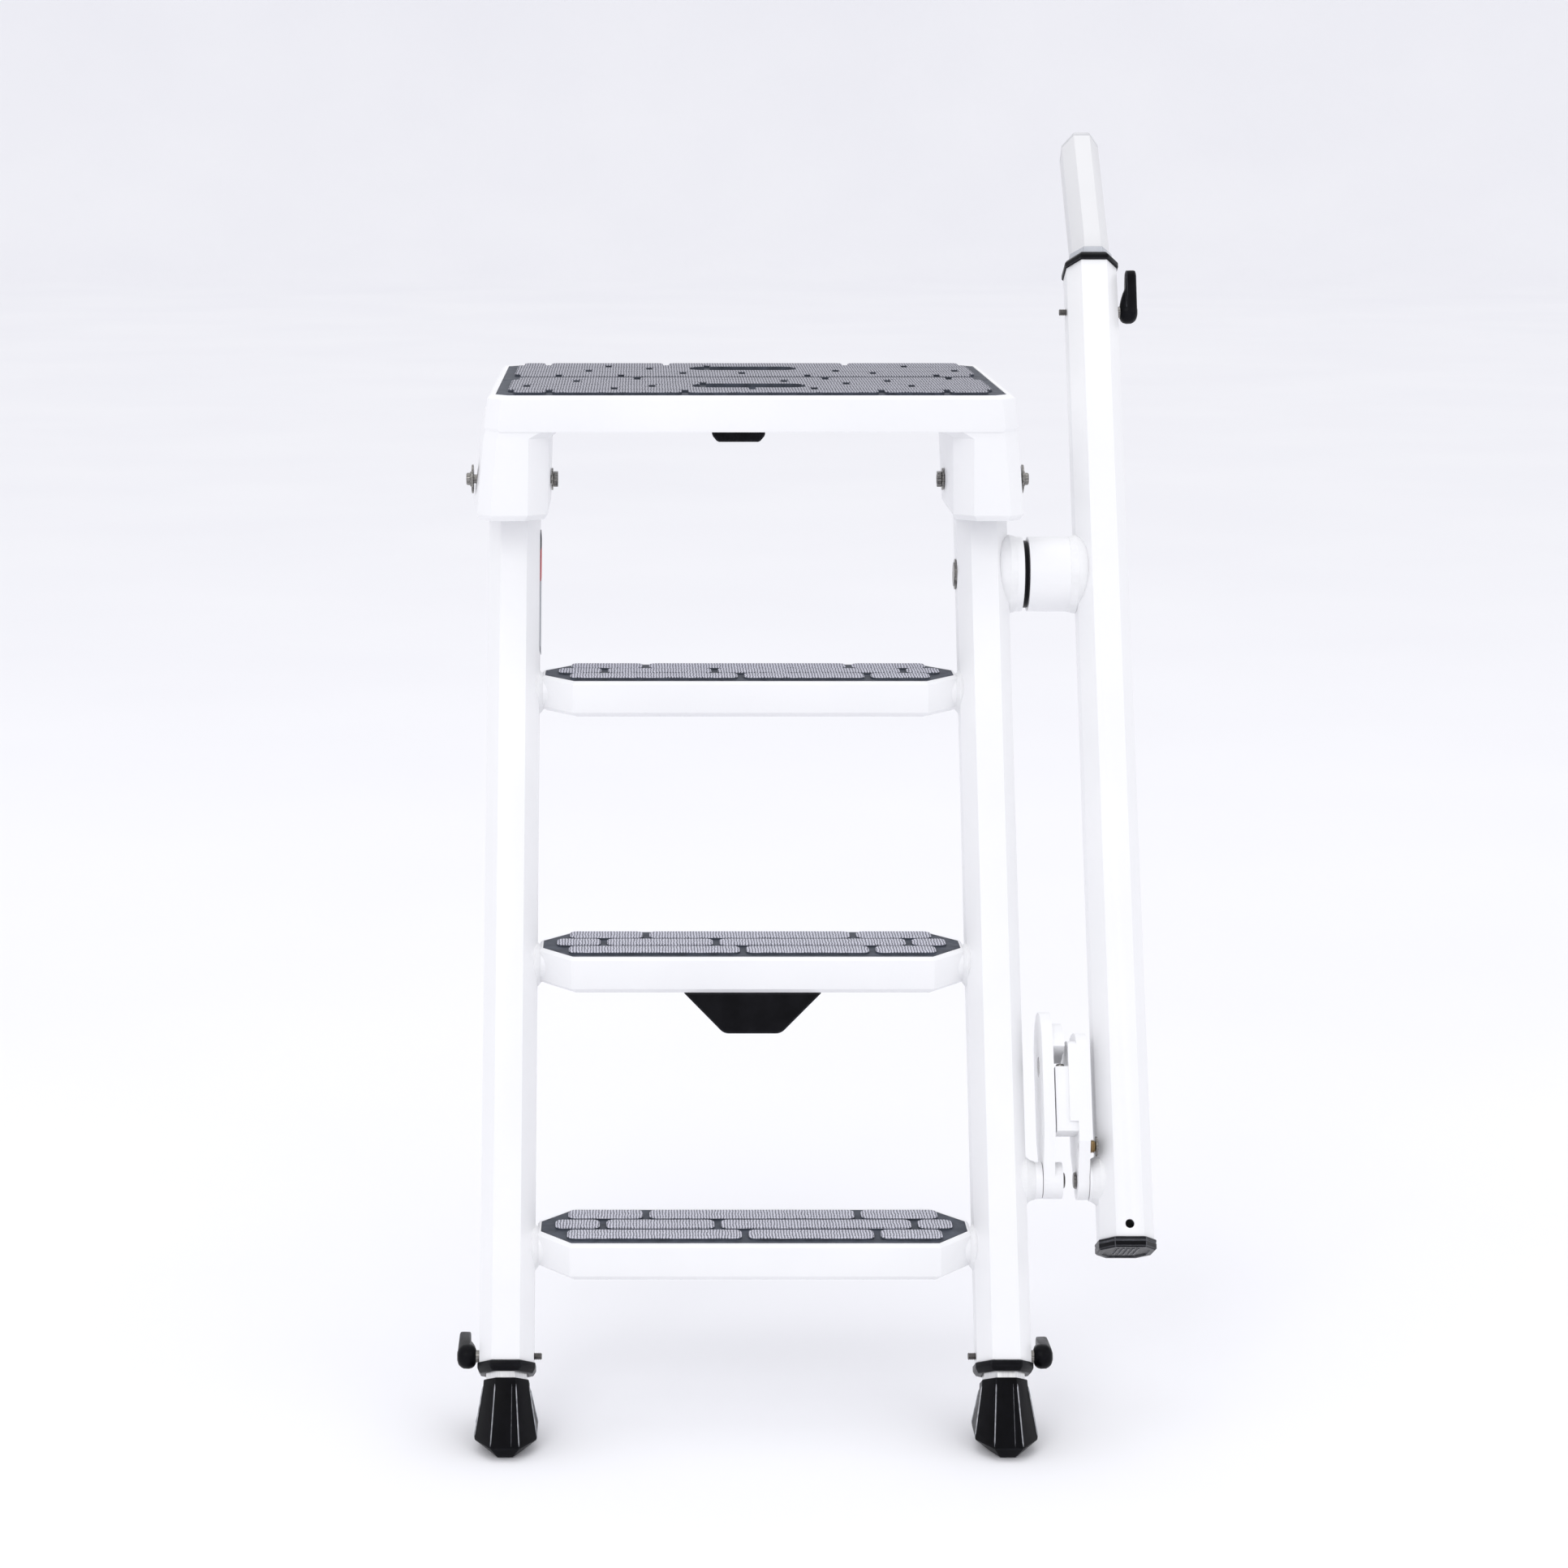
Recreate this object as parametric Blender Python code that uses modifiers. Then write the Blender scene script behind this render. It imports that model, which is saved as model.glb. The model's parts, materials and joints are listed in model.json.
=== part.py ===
"""Step ladder style mounting block: two leaning legs, three treads, a platform and a swinging handrail.

X runs across the ladder, Y from the user's side to the back, Z up. The feet stand at Z = 0.
Pieces on the leaning tubes are placed in a tilted frame: X across, V square to the leg, W along it.
"""

import math

import bmesh
import bpy
from mathutils import Vector

# Whole ladder
GAP = 0.0003                      # clearance between touching pieces
LEAN = math.radians(26.7)         # legs and handrail lean back from the vertical
CENTRE_X = 0.05140                # middle of the whole object's width, from the ladder's centre plane
CENTRE_Y = 0.298857                 # middle of its depth, from where the leg centreline meets the floor

# Square tubes with cut corners
LEG_X = 0.206
TUBE_W = 0.045
TUBE_D = 0.064
TUBE_CUT_X = 0.0110
TUBE_CUT_D = 0.0195
TUBE_WALL = 0.0028
INNER_W = 0.0335
INNER_D = 0.0520
INNER_CUT_X = 0.0095
INNER_CUT_D = 0.0160
INNER_WALL = 0.0025
LEG_FOOT_W = 0.0682               # lower end of a leg tube
LEG_TOP_W = 0.9060                # upper end, inside the platform's socket

# Feet
BOOT_TOP_W = 0.0542
BOOT_POCKET_W = 0.0200            # bottom of the pocket that holds the inner tube
FOOT_TRAVEL = 0.100
INNER_LENGTH = 0.260
COLLAR_LOW_W = 0.0592             # underside of the leg's collar
KNOB_W = 0.0745                   # clamp screw's place along the leg
KNOB_ANGLES = {"left": -0.99, "right": -1.12, "rail": 0.12}
LEVER_REACH = 0.034               # from the clamp screw to the middle of the lever's tip

# Treads: height of each top rim
TREAD_TOPS = {"upper": 0.5985, "middle": 0.3805, "lower": 0.1635}
TREAD_HALF = 0.1815
TREAD_DEPTH = 0.100
TREAD_HEIGHT = 0.031
TREAD_CUT = (0.028, 0.034)
MAT_HALF = 0.178
MAT_DEPTH = 0.089
MAT_CUT = (0.026, 0.0315)
MAT_RECESS = 0.0020
MAT_HEIGHT = 0.0042
BUMPER_DEPTH = 0.040

# Platform
DECK_TOP = 0.843
DECK_BOTTOM = 0.812
DECK_HALF = 0.2265
DECK_FRONT = 0.270
DECK_REAR = 0.628
SOCKET_BOTTOM = 0.735
SLOT_HALF = 0.044
SLOT_DEPTH = 0.034
SLOT_OFFSET = 0.098
DECK_MAT_INSET = 0.0070
DECK_RECESS = 0.0030
DECK_MAT_HEIGHT = 0.0052
BOLT_W = 0.8492
BOLT_V = -0.0040
BOLT_OUTER_X = 0.2430              # washer faces on a socket's outer and inner side
BOLT_INNER_X = 0.1745
SOCKET_FLARE = 0.0085             # a socket's outer side stands further out at its back

# Handrail
RAIL_X = 0.3115
RAIL_FOOT_W = 0.1700
RAIL_TOP_W = 1.0480
PIVOT_W = 0.7612
BOSS_R = 0.033
AXLE_R = 0.008
WASHER_X = 0.2416
WASHER_T = 0.0042
WASHER_R = 0.0297
RAIL_KNOB_W = 1.0105
RAIL_TRAVEL = 0.150
UPPER_FOOT_W = 0.800
BEND_W = 1.0585                   # the upper rail leans further back above the collar
BEND_RADIUS = 0.045
BEND_ANGLE = math.radians(20.6)
GRIP_LENGTH = 0.120
TOP_CAP = 0.0100

# Folding brace between the lower ends
BRACE_W = 0.2217                  # both lower pins at rest
LINK = 0.097                      # distance from a lower pin to the middle pin
LEG_LUG_X = 0.2425                # face of the lug on the leg
RAIL_LUG_X = 0.2818               # face of the lug on the rail
PIN_R = 0.005
PLUNGER_V = -0.0230
PLUNGER_RISE = 0.0250

WHITE = ("powder_coated_aluminium", (0.90, 0.90, 0.92), 0.42, 0.0)
BLACK = ("black_nylon", (0.020, 0.020, 0.023), 0.45, 0.0)
RUBBER = ("black_rubber", (0.016, 0.016, 0.018), 0.60, 0.0)
MAT_GREY = ("grey_mat_rubber", (0.21, 0.22, 0.25), 0.75, 0.0)
STEEL = ("stainless_steel", (0.62, 0.62, 0.60), 0.28, 1.0)
SILVER = ("bare_aluminium", (0.80, 0.80, 0.79), 0.35, 1.0)
LIGHT_GREY = ("grey_nylon", (0.60, 0.61, 0.63), 0.45, 0.0)
BRASS = ("brass", (0.66, 0.50, 0.26), 0.30, 1.0)
LABEL = ("label_film", (0.35, 0.36, 0.38), 0.40, 0.0)

SIDEWAYS = (math.pi / 2, 0.0, math.pi / 2)     # outline (V, W), thickness along X
ALONG_X = (0.0, math.pi / 2, 0.0)              # a turned piece with its axis along X


def clear_scene():
    for obj in list(bpy.data.objects):
        bpy.data.objects.remove(obj)


def new_collection(name):
    group = bpy.data.collections.new(name)
    bpy.context.scene.collection.children.link(group)
    return group


def material(look):
    name, colour, roughness, metallic = look
    made = bpy.data.materials.get(name)
    if made:
        return made
    made = bpy.data.materials.new(name)
    made.use_nodes = True
    shader = made.node_tree.nodes["Principled BSDF"]
    shader.inputs["Base Color"].default_value = (*colour, 1.0)
    shader.inputs["Roughness"].default_value = roughness
    shader.inputs["Metallic"].default_value = metallic
    return made


def frame_empty(name, parent, at, tilt=0.0):
    """An empty that starts a frame of its own: level or tilted."""
    mark = bpy.data.objects.new(name, None)
    mark.empty_display_size = 0.05
    PARTS.objects.link(mark)
    mark.parent = parent
    mark.location = Vector(at)
    mark.rotation_euler = (tilt, 0.0, 0.0)
    mark["anchor"] = (0.0, 0.0, 0.0)
    return mark


def put(obj, parent, at, rotation=(0.0, 0.0, 0.0)):
    """Hangs obj on an empty. Its place is given in the level or tilted frame, not from the empty."""
    obj.parent = parent
    obj.location = Vector(at) - Vector(parent["anchor"])
    obj.rotation_euler = rotation
    return obj


def axis(name, parent, at):
    """An empty on a joint's axis, in the tilted frame."""
    mark = frame_empty(name, parent, Vector(at) - Vector(parent["anchor"]))
    mark["anchor"] = at
    return mark


def finish(obj, look, bevel=0.0, segments=1, smooth=False):
    obj.data.materials.append(material(look))
    if bevel:
        edge = obj.modifiers.new("edge", "BEVEL")
        edge.width = bevel
        edge.segments = segments
        edge.limit_method = "ANGLE"
        edge.angle_limit = math.radians(28)
    if smooth:
        obj.data.shade_smooth()
        obj.data.set_sharp_from_angle(angle=math.radians(30))
    return obj


def from_mesh(name, mesh, group=None):
    obj = bpy.data.objects.new(name, mesh)
    (group or PARTS).objects.link(obj)
    return obj


def as_cutter(obj):
    for group in list(obj.users_collection):
        group.objects.unlink(obj)
    CUTTERS.objects.link(obj)
    obj.hide_render = True
    obj.display_type = "WIRE"
    return obj


def boolean(target, other, operation):
    as_cutter(other)
    cut = target.modifiers.new(operation.lower(), "BOOLEAN")
    cut.operation = operation
    cut.solver = "EXACT"
    cut.object = other
    return target


def octagon(width, depth, cut_x, cut_y):
    """A rectangle with its four corners cut, counter-clockwise."""
    x, y = width / 2, depth / 2
    return [(-x, -y + cut_y), (-x + cut_x, -y), (x - cut_x, -y), (x, -y + cut_y),
            (x, y - cut_y), (x - cut_x, y), (-x + cut_x, y), (-x, y - cut_y)]


def arc(centre, radius, start, end, steps):
    """Points on a circle from one angle to another, both in degrees."""
    angles = [math.radians(start + (end - start) * i / steps) for i in range(steps + 1)]
    return [(centre[0] + radius * math.cos(a), centre[1] + radius * math.sin(a)) for a in angles]


def extruded(name, outlines, length):
    """A flat outline, with holes where more than one is given, made into a prism along Z about its middle."""
    flat = bpy.data.curves.new(name, "CURVE")
    flat.dimensions = "2D"
    flat.fill_mode = "BOTH"
    flat.extrude = length / 2
    for outline in outlines:
        spline = flat.splines.new("POLY")
        spline.points.add(len(outline) - 1)
        for point, (x, y) in zip(spline.points, outline):
            point.co = (x, y, 0.0, 1.0)
        spline.use_cyclic_u = True
    guide = bpy.data.objects.new(name + "_outline", flat)
    PARTS.objects.link(guide)
    bpy.context.view_layer.update()
    mesh = bpy.data.meshes.new_from_object(guide.evaluated_get(bpy.context.evaluated_depsgraph_get()))
    bpy.data.objects.remove(guide)
    shape = bmesh.new()
    shape.from_mesh(mesh)
    bmesh.ops.remove_doubles(shape, verts=shape.verts, dist=0.00001)
    bmesh.ops.recalc_face_normals(shape, faces=shape.faces)
    bmesh.ops.dissolve_limit(shape, angle_limit=math.radians(0.5), verts=shape.verts, edges=shape.edges)
    shape.to_mesh(mesh)
    shape.free()
    mesh.materials.clear()
    return from_mesh(name, mesh)


def loft(name, rings):
    """A closed solid through rings of points, each ring a list of (x, y, z), lowest ring first."""
    shape = bmesh.new()
    loops = [[shape.verts.new(point) for point in ring] for ring in rings]
    for low, high in zip(loops, loops[1:]):
        for i in range(len(low)):
            j = (i + 1) % len(low)
            shape.faces.new((low[i], low[j], high[j], high[i]))
    shape.faces.new(list(reversed(loops[0])))
    shape.faces.new(loops[-1])
    mesh = bpy.data.meshes.new(name)
    shape.to_mesh(mesh)
    shape.free()
    return from_mesh(name, mesh)


def cylinder(name, radius, length, sides=32, tip=None):
    """A cylinder or cone frustum along Z about its middle."""
    shape = bmesh.new()
    bmesh.ops.create_cone(shape, cap_ends=True, segments=sides, radius1=radius,
                          radius2=radius if tip is None else tip, depth=length)
    mesh = bpy.data.meshes.new(name)
    shape.to_mesh(mesh)
    shape.free()
    return from_mesh(name, mesh)


def box(name, size):
    shape = bmesh.new()
    bmesh.ops.create_cube(shape, size=1.0)
    bmesh.ops.scale(shape, vec=Vector(size), verts=shape.verts)
    mesh = bpy.data.meshes.new(name)
    shape.to_mesh(mesh)
    shape.free()
    return from_mesh(name, mesh)


def turned(name, profile, sides=32):
    """A piece turned about Z. The profile runs (radius, height) from the top down its outer side."""
    mesh = bpy.data.meshes.new(name)
    mesh.from_pydata([(radius, 0.0, height) for radius, height in profile],
                     [(i, i + 1) for i in range(len(profile) - 1)], [])
    obj = from_mesh(name, mesh)
    lathe = obj.modifiers.new("lathe", "SCREW")
    lathe.axis = "Z"
    lathe.steps = sides
    lathe.render_steps = sides
    lathe.use_merge_vertices = True
    lathe.merge_threshold = 0.00002
    return obj


def tube_outlines(width, depth, cut_x, cut_d, wall):
    """The outer and inner outline of a cut-corner tube with an even wall."""
    slope = math.hypot(cut_x, cut_d)
    trim = wall * (cut_x + cut_d - slope) / cut_d
    inner_cut_x = cut_x - trim
    inner_cut_d = inner_cut_x * cut_d / cut_x
    return [octagon(width, depth, cut_x, cut_d),
            octagon(width - 2 * wall, depth - 2 * wall, inner_cut_x, inner_cut_d)]


def outer_tube(name, low, high, parent, x):
    tube = extruded(name, tube_outlines(TUBE_W, TUBE_D, TUBE_CUT_X, TUBE_CUT_D, TUBE_WALL), high - low)
    put(tube, parent, (x, 0.0, (low + high) / 2))
    return finish(tube, WHITE)


def hole_across(target, parent, radius, at, length):
    """A round hole along X through target."""
    drill = cylinder(target.name + "_drill", radius, length, 24)
    put(drill, parent, at, ALONG_X)
    return boolean(target, drill, "DIFFERENCE")


def slotted(target, parent, low, high, x, width):
    """A long slot along W through both sides of a telescoping tube, for its clamp screw."""
    cutter = box(target.name + "_slot", (TUBE_W * 2, width, high - low))
    put(cutter, parent, (x, 0.0, (low + high) / 2))
    return boolean(target, cutter, "DIFFERENCE")


def make_leg(side, sign):
    leg = outer_tube(side + "_leg", LEG_FOOT_W, LEG_TOP_W, TILTED, sign * LEG_X)
    level_cut = box(side + "_leg_top_cut", (0.1, 0.2, 0.1))
    put(level_cut, LEVEL, (sign * LEG_X, 0.42, DECK_BOTTOM - 0.002 + 0.05))
    boolean(leg, level_cut, "DIFFERENCE")
    hole_across(leg, TILTED, 0.0034, (sign * LEG_X, 0.0, KNOB_W), 0.1)
    hole_across(leg, TILTED, 0.0044, (sign * LEG_X, BOLT_V, BOLT_W), 0.1)
    if side == "right":
        hole_across(leg, TILTED, AXLE_R + GAP, (sign * LEG_X, 0.0, PIVOT_W), 0.1)
    return leg


def collar_ring(x_shrink, y_shrink, w):
    outline = octagon(TUBE_W + 0.003 - x_shrink, TUBE_D + 0.003 - y_shrink, TUBE_CUT_X, TUBE_CUT_D)
    return [(x, v, w) for x, v in outline]


def make_collar(name, parent, x, seat, outer, sleeve_to):
    """A moulded collar that guides the inner tube and closes the outer tube's end, narrower at its free end."""
    bore = octagon(INNER_W + 2 * GAP, INNER_D + 2 * GAP, INNER_CUT_X, INNER_CUT_D)
    rings = [collar_ring(0.0, 0.0, 0.0), collar_ring(0.0, 0.0, (outer - seat) * 0.55),
             collar_ring(0.0045, 0.0055, outer - seat)]
    if outer < seat:
        rings.reverse()
    flange = loft(name, rings)
    put(flange, parent, (x, 0.0, seat))
    inner = tube_outlines(TUBE_W, TUBE_D, TUBE_CUT_X, TUBE_CUT_D, TUBE_WALL + GAP)[1]
    root = seat + (0.001 if outer > seat else -0.001)
    sleeve = extruded(name + "_sleeve", [inner], abs(sleeve_to - root))
    put(sleeve, parent, (x, 0.0, (sleeve_to + root) / 2))
    boolean(flange, sleeve, "UNION")
    passage = extruded(name + "_passage", [bore], 0.120)
    put(passage, parent, (x, 0.0, seat))
    boolean(flange, passage, "DIFFERENCE")
    return finish(flange, BLACK)


def make_foot(side, sign):
    """The telescoping lower leg and its rubber boot, on the axis that they slide along."""
    slide = axis(side + "_foot_slide", TILTED, (sign * LEG_X, 0.0, 0.0))
    low = BOOT_POCKET_W + GAP
    inner = extruded(side + "_inner_tube",
                     tube_outlines(INNER_W, INNER_D, INNER_CUT_X, INNER_CUT_D, INNER_WALL), INNER_LENGTH)
    put(inner, slide, (sign * LEG_X, 0.0, low + INNER_LENGTH / 2))
    slotted(inner, slide, KNOB_W - 0.004, KNOB_W + FOOT_TRAVEL + 0.004, sign * LEG_X, 0.007)
    finish(inner, SILVER)
    make_boot(side, sign, slide)


def boot_ring(width, depth, height_at, shift=0.0):
    """A ring of the boot, in the tilted frame; height_at gives W for a place across the leg."""
    return [(x, y + shift, height_at(y + shift)) for x, y in octagon(width, depth, width * 0.27, depth * 0.29)]


def floor_height(z):
    """W of a level plane at height z, as a function of V."""
    return lambda v: (z + v * math.sin(LEAN)) / math.cos(LEAN)


def make_boot(side, sign, slide):
    rings = [
        boot_ring(0.0270, 0.0460, floor_height(0.0), 0.0025),
        boot_ring(0.0510, 0.0655, floor_height(0.0100), 0.0012),
        boot_ring(0.0515, 0.0660, floor_height(0.0120), 0.0010),
        boot_ring(0.0380, 0.0560, lambda v: BOOT_TOP_W - 0.0055),
        boot_ring(0.0375, 0.0552, lambda v: BOOT_TOP_W - 0.0008),
        boot_ring(0.0360, 0.0540, lambda v: BOOT_TOP_W),
    ]
    boot = loft(side + "_boot", rings)
    put(boot, slide, (sign * LEG_X, 0.0, 0.0))
    pocket = extruded(side + "_boot_pocket",
                      [octagon(INNER_W + 2 * GAP, INNER_D + 2 * GAP, INNER_CUT_X, INNER_CUT_D)], 0.06)
    put(pocket, slide, (sign * LEG_X, 0.0, BOOT_POCKET_W + 0.03))
    boolean(boot, pocket, "DIFFERENCE")
    finish(boot, RUBBER)


def make_knob(side, sign, parent, x, w):
    """A one-sided lever knob on a long screw that passes through both tubes."""
    turn = axis(side + "_knob_axis", parent, (x, 0.0, w))
    reach = x + sign * TUBE_W / 2
    hub = turned(side + "_knob", [(0.0, 0.0155), (0.0060, 0.0150), (0.0100, 0.0125), (0.0112, 0.0085),
                                  (0.0105, 0.0040), (0.0075, 0.0), (0.0, 0.0)], 24)
    put(hub, turn, (reach + sign * 0.003, 0.0, w), (0.0, sign * math.pi / 2, 0.0))
    lever_outline = arc((0.0, 0.0), 0.0105, 180, 360, 6) + arc((0.001, LEVER_REACH), 0.0055, 20, 160, 4)
    lever = extruded(side + "_knob_lever", [lever_outline], 0.0115)
    put(lever, turn, (reach + sign * 0.01225, 0.0, w), SIDEWAYS)
    boolean(hub, lever, "UNION")
    screw_hole = cylinder(side + "_knob_bore", 0.0030 + GAP, 0.022, 24)
    put(screw_hole, turn, (reach + sign * 0.003, 0.0, w), ALONG_X)
    boolean(hub, screw_hole, "DIFFERENCE")
    finish(hub, BLACK)
    length = TUBE_W + 0.0065 + 0.012
    screw = cylinder(side + "_knob_screw", 0.0030, length, 24)
    put(screw, turn, (x - sign * (TUBE_W / 2 + 0.0065) + sign * length / 2, 0.0, w), ALONG_X)
    finish(screw, STEEL, smooth=True)
    turn.rotation_euler = (KNOB_ANGLES[side], 0.0, 0.0)


def level_ring(half_x, half_y, cut, z, y_mid=0.0):
    return [(x, y + y_mid, z) for x, y in octagon(2 * half_x, 2 * half_y, cut[0], cut[1])]


def make_tread(which, top):
    middle = math.tan(LEAN) * top
    half_y = TREAD_DEPTH / 2
    rings = [(-0.004, -TREAD_HEIGHT), (0.0, -TREAD_HEIGHT + 0.004), (0.0, -0.0025), (-0.0020, 0.0)]
    tread = loft("tread_" + which, [level_ring(TREAD_HALF + inset, half_y + inset, TREAD_CUT, drop)
                                    for inset, drop in rings])
    put(tread, LEVEL, (0.0, middle, top))
    inner_face = LEG_X - TUBE_W / 2 - GAP
    stub = cylinder("tread_%s_stub" % which, 0.0152, 2 * inner_face, 40)
    put(stub, LEVEL, (0.0, middle - 0.0075, top - 0.0158), ALONG_X)
    boolean(tread, stub, "UNION")
    recess = extruded("tread_%s_recess" % which,
                      [octagon(2 * MAT_HALF + 2 * GAP, MAT_DEPTH + 2 * GAP, *MAT_CUT)], 0.010)
    put(recess, LEVEL, (0.0, middle, top - MAT_RECESS + 0.005))
    boolean(tread, recess, "DIFFERENCE")
    finish(tread, WHITE)
    mat = extruded("tread_mat_" + which, [octagon(2 * MAT_HALF, MAT_DEPTH, *MAT_CUT)], MAT_HEIGHT)
    put(mat, LEVEL, (0.0, middle, top - MAT_RECESS + GAP + MAT_HEIGHT / 2))
    finish(mat, MAT_GREY)


def make_bumpers():
    """The moulded black stops under the middle tread and under the platform."""
    top = TREAD_TOPS["middle"]
    outline = ([(-0.059, 0.0)] + arc((-0.0200, -0.0262), 0.0100, 225, 270, 4)
               + arc((0.0200, -0.0262), 0.0100, 270, 315, 4) + [(0.059, 0.0)])
    bumper = extruded("tread_bumper", [outline], BUMPER_DEPTH)
    front = math.tan(LEAN) * top - TREAD_DEPTH / 2 + 0.005
    put(bumper, LEVEL, (0.0, front + BUMPER_DEPTH / 2, top - TREAD_HEIGHT - GAP), (math.pi / 2, 0.0, 0.0))
    finish(bumper, BLACK, 0.0012)
    half, drop = 0.0240, 0.0240
    shape = [(-half, 0.0), (-half, -drop + 0.006), (-half + 0.005, -drop), (half - 0.005, -drop),
             (half, -drop + 0.006), (half, 0.0)]
    stop = extruded("platform_bumper", [shape], 0.030)
    put(stop, LEVEL, (-0.0065, (DECK_FRONT + DECK_REAR) / 2, DECK_BOTTOM - GAP), (math.pi / 2, 0.0, 0.0))
    finish(stop, BLACK, 0.0012)


def socket_ring(x0, x1, y0, y1, z, inset=0.0):
    """One level of a socket: cut corners, larger on the ladder's inner side. x0 is the outer side."""
    lean_in = 1.0 if x1 > x0 else -1.0
    x0 += lean_in * inset
    x1 -= lean_in * inset
    y0 += inset
    y1 -= inset
    back = x0 - lean_in * SOCKET_FLARE
    points = [(x0, y0 + 0.012), (x0 + lean_in * 0.012, y0), (x1 - lean_in * 0.017, y0), (x1, y0 + 0.015),
              (x1, y1 - 0.010), (x1 - lean_in * 0.010, y1), (back + lean_in * 0.008, y1), (back, y1 - 0.008)]
    ring = [(x, y, z) for x, y in points]
    return ring if lean_in > 0 else list(reversed(ring))


def make_platform():
    middle = (DECK_FRONT + DECK_REAR) / 2
    half_y = (DECK_REAR - DECK_FRONT) / 2
    cut = (0.012, 0.012)
    levels = [(0.0010, DECK_BOTTOM), (0.0030, DECK_BOTTOM + 0.003), (0.0, DECK_TOP - 0.003),
              (-0.0030, DECK_TOP)]
    deck = loft("platform_casting", [level_ring(DECK_HALF + grow, half_y + min(grow, 0.0), cut, z, middle)
                                     for grow, z in levels])
    put(deck, LEVEL, (0.0, 0.0, 0.0))
    for sign in (-1, 1):
        outer_low, inner_low = sign * 0.2362, sign * 0.1752
        outer_top, inner_top = sign * 0.2285, sign * 0.1660
        socket = loft("socket_%d" % sign, [
            socket_ring(outer_low, inner_low, 0.2715, 0.4160, SOCKET_BOTTOM, 0.003),
            socket_ring(outer_low, inner_low, 0.2710, 0.4170, SOCKET_BOTTOM + 0.005),
            socket_ring(outer_low - sign * 0.0062, inner_low - sign * 0.001, 0.2705, 0.4560,
                        DECK_BOTTOM - 0.006),
            socket_ring(outer_top - sign * 0.0010, inner_top - sign * 0.012, 0.2720, 0.4640,
                        DECK_BOTTOM + 0.006),
        ])
        put(socket, LEVEL, (0.0, 0.0, 0.0))
        boolean(deck, socket, "UNION")
    recess = extruded("deck_recess", [octagon(2 * (DECK_HALF - DECK_MAT_INSET) + 2 * GAP,
                                              2 * (half_y - DECK_MAT_INSET) + 2 * GAP, 0.011, 0.011)], 0.010)
    put(recess, LEVEL, (0.0, middle, DECK_TOP - DECK_RECESS + 0.005))
    boolean(deck, recess, "DIFFERENCE")
    for sign in (-1, 1):
        hand_hole = extruded("hand_hole_%d" % sign, [slot_outline(SLOT_HALF, SLOT_DEPTH)], 0.1)
        put(hand_hole, LEVEL, (0.0, middle + sign * SLOT_OFFSET, DECK_TOP))
        boolean(deck, hand_hole, "DIFFERENCE")
        bore = extruded("socket_bore_%d" % sign,
                        [octagon(TUBE_W + 3 * GAP, TUBE_D + 3 * GAP, TUBE_CUT_X, TUBE_CUT_D)], 0.30)
        put(bore, TILTED, (sign * LEG_X, 0.0, LEG_TOP_W - 0.10))
        cap = box("socket_bore_stop_%d" % sign, (0.1, 0.3, 0.1))
        put(cap, LEVEL, (sign * LEG_X, 0.42, DECK_BOTTOM - 0.0005 + 0.05))
        boolean(bore, cap, "DIFFERENCE")
        boolean(deck, bore, "DIFFERENCE")
        hole_across(deck, TILTED, 0.0044, (sign * LEG_X, BOLT_V, BOLT_W), 0.1)
    finish(deck, WHITE)
    make_deck_mats(middle, half_y)


def slot_outline(half, depth):
    """A hand hole with rounded ends."""
    radius = depth * 0.38
    corners = [(half - radius, depth / 2 - radius, 0), (-half + radius, depth / 2 - radius, 90),
               (-half + radius, -depth / 2 + radius, 180), (half - radius, -depth / 2 + radius, 270)]
    outline = []
    for x, y, start in corners:
        outline += arc((x, y), radius, start, start + 90, 4)
    return outline


def make_deck_mats(middle, half_y):
    half = DECK_HALF - DECK_MAT_INSET
    reach = half_y - DECK_MAT_INSET
    seam = 0.0012
    for name, sign in (("front", -1), ("rear", 1)):
        outline = [(-half, sign * seam), (half, sign * seam), (half, sign * (reach - 0.011)),
                   (half - 0.011, sign * reach), (-half + 0.011, sign * reach), (-half, sign * (reach - 0.011))]
        hole = [(x, y + sign * SLOT_OFFSET) for x, y in slot_outline(SLOT_HALF + 0.001, SLOT_DEPTH + 0.002)]
        mat = extruded("platform_mat_" + name, [outline, hole], DECK_MAT_HEIGHT)
        put(mat, LEVEL, (0.0, middle, DECK_TOP - DECK_RECESS + GAP + DECK_MAT_HEIGHT / 2))
        finish(mat, MAT_GREY)


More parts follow.
